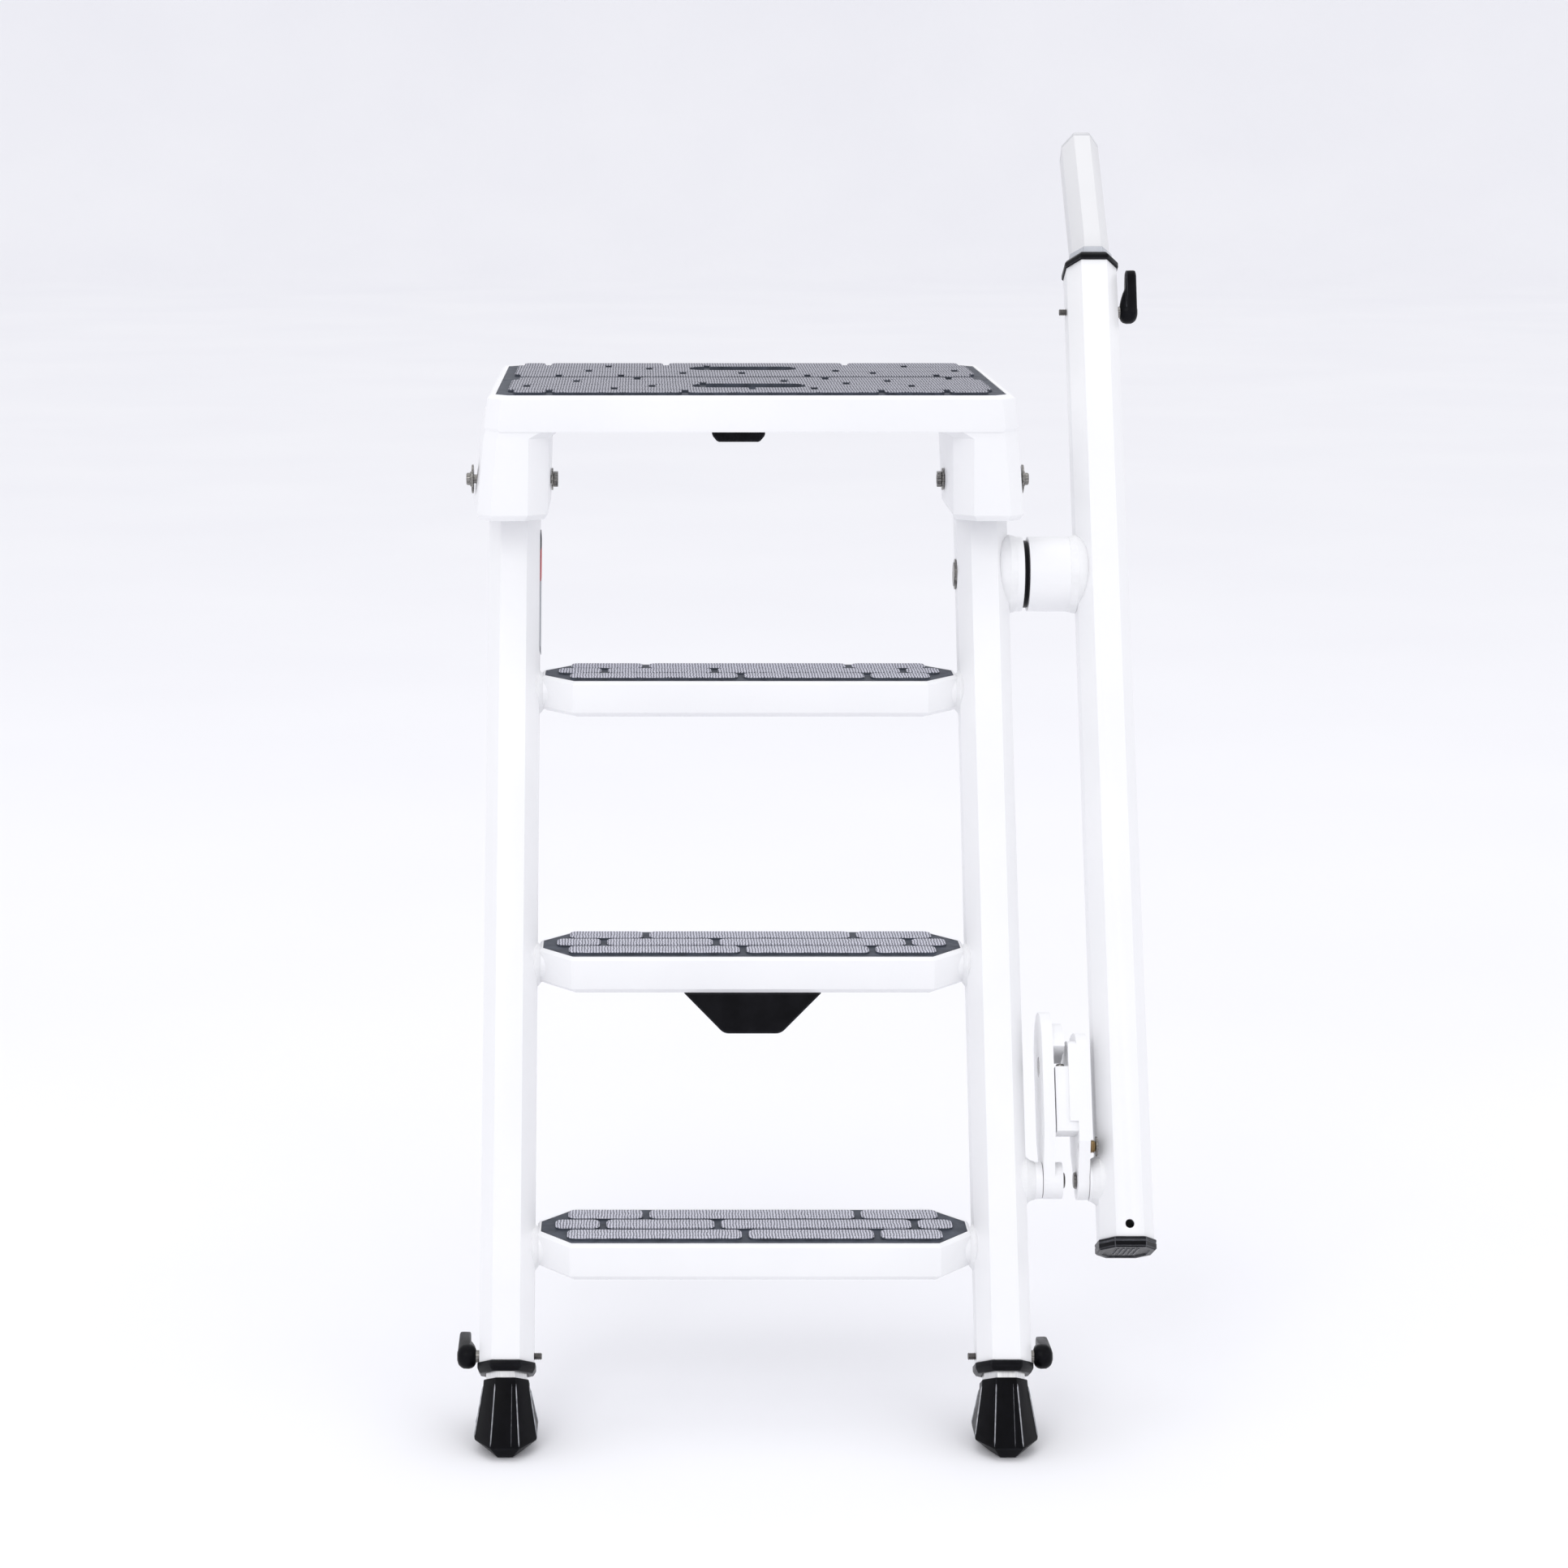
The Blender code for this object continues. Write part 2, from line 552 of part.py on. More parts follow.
def make_socket_bolt(side, sign):
    """Through bolt, washers and nut that hold a leg in its socket."""
    shaft_end = BOLT_INNER_X - 0.0045
    head_seat = BOLT_OUTER_X + 0.0016 + 2 * GAP
    bolt = turned(side + "_socket_bolt", [(0.0, 0.0045), (0.0035, 0.0042), (0.0058, 0.0026), (0.0068, 0.0),
                                          (0.0040, 0.0), (0.0040, -(head_seat - shaft_end)),
                                          (0.0, -(head_seat - shaft_end))], 24)
    put(bolt, TILTED, (sign * head_seat, BOLT_V, BOLT_W), (0.0, sign * math.pi / 2, 0.0))
    finish(bolt, STEEL, smooth=True)
    for place, at, radius in (("outer", BOLT_OUTER_X + GAP + 0.0008, 0.0128),
                              ("inner", BOLT_INNER_X - GAP - 0.0008, 0.0098)):
        ring = [arc((0.0, 0.0), radius, 0, 352.5, 47), arc((0.0, 0.0), 0.0040 + GAP, 0, 345, 23)]
        washer = extruded("%s_%s_washer" % (side, place), ring, 0.0016)
        put(washer, TILTED, (sign * at, BOLT_V, BOLT_W), ALONG_X)
        finish(washer, STEEL, smooth=True)
    nut = extruded(side + "_socket_nut", [arc((0.0, 0.0), 0.0075, 0, 300, 5),
                                          arc((0.0, 0.0), 0.0040 + GAP, 0, 345, 23)], 0.0040)
    put(nut, TILTED, (sign * (BOLT_INNER_X - 2 * GAP - 0.0016 - 0.0020), BOLT_V, BOLT_W), ALONG_X)
    finish(nut, STEEL)


def make_pivot():
    """The upper swivel: a boss on the leg, a thrust washer, a boss on the rail and the axle through them."""
    leg_face = LEG_X + TUBE_W / 2 + GAP
    rail_face = RAIL_X - TUBE_W / 2 - GAP
    spans = {"leg_pivot_boss": (leg_face, WASHER_X - GAP, TILTED, WHITE),
             "pivot_washer": (WASHER_X, WASHER_X + WASHER_T, TILTED, BLACK),
             "rail_pivot_boss": (WASHER_X + WASHER_T + GAP, rail_face, RAIL, WHITE)}
    for name, (start, end, parent, look) in spans.items():
        radius = WASHER_R if name == "pivot_washer" else BOSS_R
        body = cylinder(name, radius, end - start, 48)
        put(body, parent, ((start + end) / 2, 0.0, PIVOT_W), ALONG_X)
        depth = 2 * (end - start)
        centre = (start + end) / 2
        if name == "rail_pivot_boss":
            depth = 2 * (0.2755 - start)
            centre = start
        hole_across(body, parent, AXLE_R + GAP, (centre, 0.0, PIVOT_W), depth)
        finish(body, look, smooth=True)
    inner_face = LEG_X - TUBE_W / 2
    washer = extruded("pivot_axle_washer", [arc((0.0, 0.0), 0.0135, 0, 352.5, 47),
                                            arc((0.0, 0.0), AXLE_R + GAP, 0, 345, 23)], 0.0011)
    put(washer, TILTED, (inner_face - GAP - 0.00055, 0.0, PIVOT_W), ALONG_X)
    finish(washer, STEEL, smooth=True)
    seat = inner_face - 0.0011 - 2 * GAP
    reach = 0.2745 - seat
    axle = turned("pivot_axle", [(0.0, reach), (AXLE_R - 0.0006, reach), (AXLE_R, reach - 0.0006),
                                 (AXLE_R, 0.0), (0.0110, 0.0), (0.0106, -0.0006), (0.0, -0.0009)], 32)
    put(axle, TILTED, (seat, 0.0, PIVOT_W), ALONG_X)
    finish(axle, STEEL, smooth=True)


def make_rail():
    tube = outer_tube("rail_lower_tube", RAIL_FOOT_W, RAIL_TOP_W, RAIL, RAIL_X)
    hole_across(tube, RAIL, 0.0034, (RAIL_X, 0.0, RAIL_KNOB_W), 0.1)
    drain = cylinder("rail_drain_hole", 0.0038, 0.030, 24)
    put(drain, RAIL, (RAIL_X, -TUBE_D / 2, RAIL_FOOT_W + 0.0105), (math.pi / 2, 0.0, 0.0))
    boolean(tube, drain, "DIFFERENCE")
    cap_w = RAIL_FOOT_W - GAP
    outline = octagon(TUBE_W + 0.003, TUBE_D + 0.003, TUBE_CUT_X, TUBE_CUT_D)
    cap = extruded("rail_end_cap", [outline], 0.0090)
    put(cap, RAIL, (RAIL_X, 0.0, cap_w - 0.0045))
    plug_outline = tube_outlines(TUBE_W, TUBE_D, TUBE_CUT_X, TUBE_CUT_D, TUBE_WALL + GAP)[1]
    plug = extruded("rail_end_cap_plug", [plug_outline], 0.0080)
    put(plug, RAIL, (RAIL_X, 0.0, cap_w + 0.001))
    boolean(cap, plug, "UNION")
    finish(cap, BLACK)
    make_collar("rail_collar", RAIL, RAIL_X, RAIL_TOP_W + GAP, RAIL_TOP_W + 0.0083, RAIL_TOP_W - 0.030)


def rail_path(overrun):
    """Places and directions (as an angle from W) along the upper rail, run on past both ends by overrun."""
    stations = [((0.0, UPPER_FOOT_W - overrun), 0.0), ((0.0, BEND_W), 0.0)]
    steps = 6
    for i in range(1, steps + 1):
        a = BEND_ANGLE * i / steps
        stations.append(((BEND_RADIUS * (1 - math.cos(a)), BEND_W + BEND_RADIUS * math.sin(a)), a))
    v, w = stations[-1][0]
    run = GRIP_LENGTH + overrun
    stations.append(((v + run * math.sin(BEND_ANGLE), w + run * math.cos(BEND_ANGLE)), BEND_ANGLE))
    return stations


def swept(name, outline, stations):
    """An outline carried along a path in the V-W plane."""
    rings = []
    for (v, w), a in stations:
        rings.append([(x, v + y * math.cos(a), w - y * math.sin(a)) for x, y in outline])
    return loft(name, rings)


def make_upper_rail():
    """The telescoping upper rail, bent back a little above the collar, and the tapered cap that closes it."""
    slide = axis("rail_upper_slide", RAIL, (RAIL_X, 0.0, 0.0))
    outlines = tube_outlines(INNER_W, INNER_D, INNER_CUT_X, INNER_CUT_D, INNER_WALL)
    tube = swept("rail_upper_tube", outlines[0], rail_path(0.0))
    put(tube, slide, (RAIL_X, 0.0, 0.0))
    hollow = swept("rail_upper_hollow", outlines[1], rail_path(0.010))
    put(hollow, slide, (RAIL_X, 0.0, 0.0))
    boolean(tube, hollow, "DIFFERENCE")
    slotted(tube, slide, RAIL_KNOB_W - RAIL_TRAVEL - 0.004, RAIL_KNOB_W + 0.004, RAIL_X, 0.007)
    finish(tube, WHITE)
    (top_v, top_w), lean = rail_path(0.0)[-1]
    tip = axis("rail_tip", slide, (RAIL_X, top_v, top_w))
    tip.rotation_euler = (-lean, 0.0, 0.0)
    tapers = [(0.0, 0.0), (0.0, 0.30 * TOP_CAP), (0.0030, 0.65 * TOP_CAP), (0.0095, TOP_CAP)]
    cap = loft("rail_top_cap", [[(x, v, rise) for x, v in octagon(INNER_W - 2 * taper, INNER_D - 2 * taper,
                                                                  INNER_CUT_X - taper * 0.6,
                                                                  INNER_CUT_D - taper * 0.9)]
                                for taper, rise in tapers])
    put(cap, tip, (RAIL_X, top_v, top_w + GAP))
    plug_outline = tube_outlines(INNER_W, INNER_D, INNER_CUT_X, INNER_CUT_D, INNER_WALL + GAP)[1]
    plug = extruded("rail_top_cap_plug", [plug_outline], 0.016)
    put(plug, tip, (RAIL_X, top_v, top_w - 0.006))
    boolean(cap, plug, "UNION")
    finish(cap, LIGHT_GREY)


def pear(low_radius, high_half, square_from, top):
    """A link's outline in (V, W) from its lower pin: round at the pin, wide above, with a round top."""
    side = [(low_radius, 0.0), (high_half, square_from), (high_half, LINK + 0.012)]
    crown = arc((0.0, LINK + 0.012), 1.0, 0, 180, 12)
    crown = [(x * high_half, LINK + 0.012 + (y - LINK - 0.012) * (top - 0.012)) for x, y in crown]
    foot = arc((0.0, 0.0), low_radius, 180, 360, 10)
    return foot[:-1] + side + crown[1:-1] + [(-high_half, LINK + 0.012), (-high_half, square_from)]


def sector(reach, start, end):
    """A quarter plate about the middle pin, in (V, W)."""
    return [(0.0, 0.0)] + arc((0.0, 0.0), reach, start, end, 6)


def make_brace():
    leg_face = LEG_X + TUBE_W / 2 + GAP
    rail_face = RAIL_X - TUBE_W / 2 - GAP
    lug = cylinder("leg_brace_lug", 0.0155, LEG_LUG_X - leg_face, 36)
    put(lug, TILTED, ((LEG_LUG_X + leg_face) / 2, 0.0, BRACE_W), ALONG_X)
    hole_across(lug, TILTED, PIN_R + GAP, (LEG_LUG_X, 0.0, BRACE_W), 0.018)
    finish(lug, WHITE, smooth=True)
    lug = cylinder("rail_brace_lug", 0.0175, rail_face - RAIL_LUG_X, 36)
    put(lug, RAIL, ((rail_face + RAIL_LUG_X) / 2, 0.0, BRACE_W), ALONG_X)
    hole_across(lug, RAIL, PIN_R + GAP, (RAIL_LUG_X, 0.0, BRACE_W), 0.010)
    finish(lug, WHITE, smooth=True)
    make_leg_link()
    make_rail_link()
    pins = (("brace_leg_pin", TILTED, LEG_LUG_X - 0.0078, LEG_LUG_X + 0.0175, 1),
            ("brace_rail_pin", RAIL, RAIL_LUG_X - 0.0103, RAIL_LUG_X + 0.0037, -1))
    for name, parent, low, high, head_at in pins:
        length = high - low
        pin = turned(name, [(0.0, 0.0022), (0.0060, 0.0018), (0.0075, 0.0), (PIN_R, 0.0), (PIN_R, -length),
                            (0.0, -length)], 24)
        seat = high + GAP if head_at > 0 else low - GAP
        put(pin, parent, (seat, 0.0, BRACE_W), (0.0, head_at * math.pi / 2, 0.0))
        finish(pin, STEEL, smooth=True)


def make_leg_link():
    """The link on the leg: a broad plate, thicker at its hub and above the middle pin."""
    face = LEG_LUG_X + 0.0005
    turn = axis("leg_link_axis", TILTED, (face, 0.0, BRACE_W))
    plate = extruded("brace_link_leg", [pear(0.0155, 0.033, 0.040, 0.047)], 0.0094)
    put(plate, turn, (face + 0.0047, 0.0, BRACE_W), SIDEWAYS)
    hub = cylinder("link_leg_hub", 0.0155, 0.0155, 36)
    put(hub, turn, (face + 0.00875, 0.0, BRACE_W), ALONG_X)
    boolean(plate, hub, "UNION")
    block = extruded("link_leg_block", [sector(0.034, 91, 165)], 0.0180)
    put(block, turn, (face + 0.0100, 0.0, BRACE_W + LINK + 0.003), SIDEWAYS)
    boolean(plate, block, "UNION")
    hole_across(plate, turn, PIN_R + GAP, (face + 0.0082, 0.0, BRACE_W), 0.06)
    bolt_seat = cylinder("link_leg_bolt_seat", 0.0088, 0.006, 32)
    put(bolt_seat, turn, (face, 0.0, BRACE_W + LINK), ALONG_X)
    boolean(plate, bolt_seat, "DIFFERENCE")
    hole_across(plate, turn, PIN_R - 0.001 + GAP, (face, 0.0, BRACE_W + LINK), 0.016)
    finish(plate, WHITE)
    pin = turned("brace_middle_pin", [(0.0, 0.0022), (0.0070, 0.0018), (0.0080, 0.0), (PIN_R - 0.001, 0.0),
                                      (PIN_R - 0.001, -0.0042), (0.0, -0.0042)], 24)
    put(pin, turn, (face + 0.0030 - GAP, 0.0, BRACE_W + LINK), (0.0, -math.pi / 2, 0.0))
    finish(pin, STEEL, smooth=True)


def make_rail_link():
    """The link on the rail: thin at the rail lug, thick around the middle pin, with a stop screw."""
    face = RAIL_LUG_X - 0.0005
    turn = axis("rail_link_axis", RAIL, (face, 0.0, BRACE_W))
    plate = extruded("brace_link_rail", [pear(0.0165, 0.033, 0.028, 0.028)], 0.0095)
    put(plate, turn, (face - 0.00475, 0.0, BRACE_W), SIDEWAYS)
    head = extruded("link_rail_head", [pear(0.0165, 0.033, 0.028, 0.020)], 0.0166)
    put(head, turn, (face - 0.0083, 0.0, BRACE_W), SIDEWAYS)
    trim = box("link_rail_trim", (0.05, 0.2, 0.1))
    put(trim, turn, (face - 0.0083, 0.0, BRACE_W + 0.045 - 0.05))
    boolean(head, trim, "DIFFERENCE")
    boolean(plate, head, "UNION")
    block = box("link_rail_block", (0.0274, 0.028, 0.055))
    put(block, turn, (LEG_LUG_X + 0.0113 + 0.0137, -0.016, BRACE_W + LINK - 0.0325))
    boolean(plate, block, "UNION")
    bore = cylinder("link_rail_pin_hole", PIN_R + GAP, 0.06, 24)
    put(bore, turn, (face - 0.0078, 0.0, BRACE_W), ALONG_X)
    boolean(plate, bore, "DIFFERENCE")
    hole = cylinder("link_rail_screw_hole", 0.0022 + GAP, 0.020, 16)
    put(hole, turn, (face - 0.0223, -0.020, BRACE_W + LINK - 0.005))
    boolean(plate, hole, "DIFFERENCE")
    socket = cylinder("link_rail_plunger_hole", 0.0030 + GAP, 0.02, 24)
    put(socket, turn, (face, PLUNGER_V, BRACE_W + PLUNGER_RISE), ALONG_X)
    boolean(plate, socket, "DIFFERENCE")
    finish(plate, WHITE)
    screw = turned("brace_stop_screw", [(0.0, 0.0035), (0.0030, 0.0033), (0.0036, 0.0024), (0.0036, 0.0004),
                                        (0.0022, 0.0004), (0.0022, -0.0090), (0.0, -0.0090)], 16)
    put(screw, turn, (face - 0.0223, -0.020, BRACE_W + LINK - 0.0049))
    finish(screw, STEEL, smooth=True)
    make_plunger(turn)


def make_plunger(turn):
    """A spring plunger on the rail link: a threaded brass bushing and a pin with a pull ring."""
    at = Vector((RAIL_LUG_X - 0.0005, PLUNGER_V, BRACE_W + PLUNGER_RISE))
    bushing = extruded("plunger_bushing", [arc((0.0, 0.0), 0.0056, 0, 345, 23),
                                           arc((0.0, 0.0), 0.0026 + GAP, 0, 337.5, 15)], 0.0040)
    put(bushing, turn, at + Vector((GAP + 0.0020, 0.0, 0.0)), ALONG_X)
    finish(bushing, BRASS, smooth=True)
    pin = turned("plunger_pin", [(0.0, 0.0068), (0.0070, 0.0066), (0.0084, 0.0060), (0.0084, 0.0047),
                                 (0.0026, 0.0047), (0.0026, -0.0090), (0.0, -0.0090)], 24)
    put(pin, turn, at, ALONG_X)
    finish(pin, STEEL, smooth=True)


def make_label():
    """A plain film label low on the platform end of the left leg, facing the right leg."""
    label = box("leg_label", (0.0006, 0.024, 0.108))
    put(label, TILTED, (-LEG_X + TUBE_W / 2 + GAP + 0.0003, 0.0, 0.7445))
    finish(label, LABEL)


clear_scene()
PARTS = new_collection("mounting_block")
CUTTERS = new_collection("cutters")
LEVEL = frame_empty("ladder_frame", None, (-CENTRE_X, -CENTRE_Y, 0.0))
TILTED = frame_empty("leg_frame", LEVEL, (0.0, 0.0, 0.0), -LEAN)
RAIL = axis("rail_swing_axis", TILTED, (0.2660, 0.0, PIVOT_W))

for SIDE, SIGN in (("left", -1), ("right", 1)):
    make_leg(SIDE, SIGN)
    make_collar(SIDE + "_leg_collar", TILTED, SIGN * LEG_X, LEG_FOOT_W - GAP, COLLAR_LOW_W, 0.0708)
    make_foot(SIDE, SIGN)
    make_knob(SIDE, SIGN, TILTED, SIGN * LEG_X, KNOB_W)
    make_socket_bolt(SIDE, SIGN)
for WHICH, TOP in TREAD_TOPS.items():
    make_tread(WHICH, TOP)
make_bumpers()
make_platform()
make_pivot()
make_rail()
make_upper_rail()
make_knob("rail", 1, RAIL, RAIL_X, RAIL_KNOB_W)
make_brace()
make_label()
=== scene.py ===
"""Looks of the mounting block: studio, camera, materials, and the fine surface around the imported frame."""

import json
import math

import bmesh
import bpy
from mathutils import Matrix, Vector


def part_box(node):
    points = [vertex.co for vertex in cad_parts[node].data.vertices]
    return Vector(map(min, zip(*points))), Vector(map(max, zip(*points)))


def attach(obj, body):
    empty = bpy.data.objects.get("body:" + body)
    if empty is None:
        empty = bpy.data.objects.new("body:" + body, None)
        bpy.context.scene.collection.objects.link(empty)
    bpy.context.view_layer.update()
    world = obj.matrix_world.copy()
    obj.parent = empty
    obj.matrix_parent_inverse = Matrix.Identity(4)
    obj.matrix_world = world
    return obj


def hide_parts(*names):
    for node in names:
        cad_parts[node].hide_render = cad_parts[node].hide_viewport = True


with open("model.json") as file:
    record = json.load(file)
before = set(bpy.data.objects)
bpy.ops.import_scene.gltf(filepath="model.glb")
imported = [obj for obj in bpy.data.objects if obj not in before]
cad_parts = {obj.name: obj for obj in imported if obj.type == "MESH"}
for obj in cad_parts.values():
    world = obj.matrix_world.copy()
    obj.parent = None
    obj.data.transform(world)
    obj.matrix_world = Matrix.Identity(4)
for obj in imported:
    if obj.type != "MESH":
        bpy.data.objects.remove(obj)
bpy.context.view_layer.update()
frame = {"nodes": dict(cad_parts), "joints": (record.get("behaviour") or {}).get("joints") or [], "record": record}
NODES = frame["nodes"]
JOINTS = {joint["name"]: joint for joint in frame["joints"]}
BODY_OF = {node: body for body, group in frame["record"]["behaviour"]["bodies"].items() for node in group}

# Frame facts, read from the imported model
UP_LEG = Vector(JOINTS["rail_extend"]["axis"]).normalized()
LEAN = math.atan2(UP_LEG.y, UP_LEG.z)
ACROSS_LEG = Vector((0.0, math.cos(LEAN), -math.sin(LEAN)))
LEFT_X, LEFT_CLAMP_Y, LEFT_CLAMP_Z = JOINTS["left_clamp_turn"]["pos_m"]
RIGHT_X = JOINTS["right_clamp_turn"]["pos_m"][0]
RAIL_X = JOINTS["rail_clamp_turn"]["pos_m"][0]
MIDDLE_X = (LEFT_X + RIGHT_X) / 2
FLOOR_LINE_Y = LEFT_CLAMP_Y - LEFT_CLAMP_Z * math.tan(LEAN)      # where the legs' line meets the floor

TUBE_HALF = 0.0225                # half the width of a leg or of the lower rail
TREADS = ("upper", "middle", "lower")


# ---------------------------------------------------------------- materials

EDGE_MASK_SAMPLES = 6


class Graph:
    """A small helper that wires a node material."""

    def __init__(self, name):
        self.material = bpy.data.materials.new(name)
        self.material.use_nodes = True
        self.tree = self.material.node_tree
        self.shader = self.tree.nodes["Principled BSDF"]
        self.place = self.add("ShaderNodeTexCoord").outputs["Object"]

    def add(self, kind, **settings):
        """A new node of a kind, with its settings."""
        node = self.tree.nodes.new(kind)
        for key, value in settings.items():
            setattr(node, key, value)
        return node

    def link(self, out, into):
        """Wires an output to an input."""
        self.tree.links.new(out, into)

    def set(self, **values):
        """Sets the shader's inputs; an underscore in a name stands for a space."""
        for key, value in values.items():
            self.shader.inputs[key.replace("_", " ")].default_value = value

    def mapped(self, scale):
        """The object's own coordinates, stretched along each axis."""
        node = self.add("ShaderNodeMapping")
        node.inputs["Scale"].default_value = scale
        self.link(self.place, node.inputs["Vector"])
        return node.outputs["Vector"]

    def noise(self, scale, detail=2.0, roughness=0.5, vector=None):
        """Cloudy noise; its scale is in cells for each metre."""
        node = self.add("ShaderNodeTexNoise")
        node.inputs["Scale"].default_value = scale
        node.inputs["Detail"].default_value = detail
        node.inputs["Roughness"].default_value = roughness
        self.link(vector or self.place, node.inputs["Vector"])
        return node.outputs["Fac"]

    def wave(self, scale, direction, distortion):
        """Parallel bands across a direction, bent by the distortion."""
        node = self.add("ShaderNodeTexWave", bands_direction=direction)
        node.inputs["Scale"].default_value = scale
        node.inputs["Distortion"].default_value = distortion
        self.link(self.place, node.inputs["Vector"])
        return node.outputs["Fac"]

    def math(self, operation, a, b):
        """One step of arithmetic on two values, each a number or an output."""
        node = self.add("ShaderNodeMath", operation=operation)
        for index, value in enumerate((a, b)):
            if isinstance(value, (int, float)):
                node.inputs[index].default_value = value
            else:
                self.link(value, node.inputs[index])
        return node.outputs["Value"]

    def ramp(self, factor, stops):
        """Colours read off a factor; each stop is a place and a colour."""
        node = self.add("ShaderNodeValToRGB")
        elements = node.color_ramp.elements
        while len(elements) < len(stops):
            elements.new(0.5)
        for element, (at, colour) in zip(elements, stops):
            element.position = at
            element.color = (*colour, 1.0)
        self.link(factor, node.inputs["Fac"])
        return node.outputs["Color"]

    def span(self, factor, low, high):
        """Spreads a 0 to 1 value over a range."""
        node = self.add("ShaderNodeMapRange")
        node.inputs["To Min"].default_value = low
        node.inputs["To Max"].default_value = high
        self.link(factor, node.inputs["Value"])
        return node.outputs["Result"]

    def edges(self, radius, gain):
        """Up to 1 along sharp edges, inner and outer, and 0 on flat faces."""
        rounded_off = self.add("ShaderNodeBevel", samples=EDGE_MASK_SAMPLES)
        rounded_off.inputs["Radius"].default_value = radius
        surface = self.add("ShaderNodeNewGeometry")
        turn = self.add("ShaderNodeVectorMath", operation="DOT_PRODUCT")
        self.link(rounded_off.outputs["Normal"], turn.inputs[0])
        self.link(surface.outputs["Normal"], turn.inputs[1])
        mask = self.math("MULTIPLY", self.math("SUBTRACT", 1.0, turn.outputs["Value"]), gain)
        mask.node.use_clamp = True
        return mask

    def mixed(self, factor, first, second):
        """Two colours, or a colour output and a colour, mixed by a factor."""
        node = self.add("ShaderNodeMix", data_type="RGBA")
        self.link(factor, node.inputs["Factor"])
        for value, socket in ((first, node.inputs["A"]), (second, node.inputs["B"])):
            if isinstance(value, tuple):
                socket.default_value = (*value, 1.0)
            else:
                self.link(value, socket)
        return node.outputs["Result"]

    def colour(self, out):
        """Takes the surface's colour from an output."""
        self.link(out, self.shader.inputs["Base Color"])

    def rough(self, out):
        """Takes its roughness from an output."""
        self.link(out, self.shader.inputs["Roughness"])

    def bump(self, height, strength, distance):
        """Adds a relief on top of any that the material has."""
        node = self.add("ShaderNodeBump")
        node.inputs["Strength"].default_value = strength
        node.inputs["Distance"].default_value = distance
        self.link(height, node.inputs["Height"])
        previous = self.shader.inputs["Normal"].links
        if previous:
            self.link(previous[0].from_socket, node.inputs["Normal"])
        self.link(node.outputs["Normal"], self.shader.inputs["Normal"])


def shaded(tones, shade):
    """A ramp's stops with every colour made lighter or darker by a factor."""
    return [(at, tuple(shade * part for part in tone)) for at, tone in tones]


def powder_coat(name, shade):
    """White satin powder coat: fine orange peel and a faint cloudiness; shade scales how light it is."""
    g = Graph(name)
    tones = ((0.25, (0.865, 0.868, 0.880)), (0.75, (0.905, 0.906, 0.915)))
    g.colour(g.ramp(g.noise(9.0, 3.0), shaded(tones, shade)))
    g.rough(g.span(g.noise(38.0, 3.0), 0.30, 0.44))
    g.bump(g.noise(620.0, 2.0, 0.45), 0.10, 0.0004)
    g.bump(g.noise(60.0, 2.0), 0.05, 0.0010)
    g.set(Specular_IOR_Level=0.5, Coat_Weight=0.15, Coat_Roughness=0.25)
    return g.material


def weld_coat():
    """The white coat over a weld bead, rougher than on a tube."""
    g = Graph("white_weld_coat")
    g.colour(g.ramp(g.noise(60.0, 3.0), [(0.3, (0.840, 0.843, 0.850)), (0.7, (0.895, 0.897, 0.905))]))
    g.rough(g.span(g.noise(80.0, 3.0), 0.34, 0.50))
    g.bump(g.noise(420.0, 3.0, 0.6), 0.25, 0.0006)
    return g.material


def black_plastic():
    """Moulded black nylon with a fine spark-eroded grain, and a painted highlight along its edges."""
    g = Graph("black_nylon")
    body = g.ramp(g.noise(70.0, 4.0), [(0.3, (0.002, 0.002, 0.003)), (0.75, (0.006, 0.006, 0.008))])
    # painted highlight: the sharp edges are painted grey, standing in for the bright lines that light makes along
    # them
    edge_highlight = g.math("MULTIPLY", g.edges(0.0013, 9.0), g.span(g.noise(110.0, 4.0, 0.7), 0.35, 1.15))
    g.colour(g.mixed(edge_highlight, body, (0.190, 0.195, 0.215)))
    g.rough(g.span(g.noise(140.0, 3.0), 0.24, 0.40))
    g.bump(g.noise(1500.0, 2.0, 0.6), 0.18, 0.0003)
    g.set(Specular_IOR_Level=0.08)
    return g.material


def grey_plastic():
    """Light grey moulded nylon."""
    g = Graph("light_grey_nylon")
    g.colour(g.ramp(g.noise(70.0, 4.0), [(0.3, (0.600, 0.605, 0.620)), (0.75, (0.680, 0.685, 0.700))]))
    g.rough(g.span(g.noise(140.0, 3.0), 0.35, 0.55))
    g.bump(g.noise(1200.0, 2.0, 0.6), 0.12, 0.0003)
    return g.material


def boot_rubber():
    """Black boot rubber, with a painted highlight along its edges."""
    g = Graph("black_boot_rubber")
    body = g.ramp(g.noise(45.0, 5.0, 0.6), [(0.35, (0.0015, 0.0015, 0.002)), (0.85, (0.005, 0.005, 0.007))])
    # painted highlight: the sharp edges are painted grey, standing in for the light that glints along them
    boot_edge_highlight = g.math("MULTIPLY", g.edges(0.0013, 7.0), g.span(g.noise(80.0, 4.0, 0.7), 0.30, 1.10))
    g.colour(g.mixed(boot_edge_highlight, body, (0.120, 0.125, 0.140)))
    g.rough(g.span(g.noise(90.0, 3.0), 0.26, 0.42))
    g.bump(g.noise(900.0, 3.0, 0.6), 0.20, 0.0004)
    g.set(Specular_IOR_Level=0.06)
    return g.material


def painted_rib_highlight():
    """The boots' raised ribs, shiny, and painted grey to light grey as a highlight along each rib."""
    g = Graph("worn_boot_rib")
    # painted highlight: the ribs are painted grey on the black rubber, where light glints along them
    g.colour(g.ramp(g.noise(160.0, 4.0, 0.7), [(0.30, (0.150, 0.156, 0.172)), (0.75, (0.480, 0.490, 0.520))]))
    g.rough(g.span(g.noise(240.0, 3.0), 0.18, 0.34))
    g.bump(g.noise(900.0, 2.0), 0.12, 0.0003)
    g.set(Specular_IOR_Level=0.6)
    return g.material


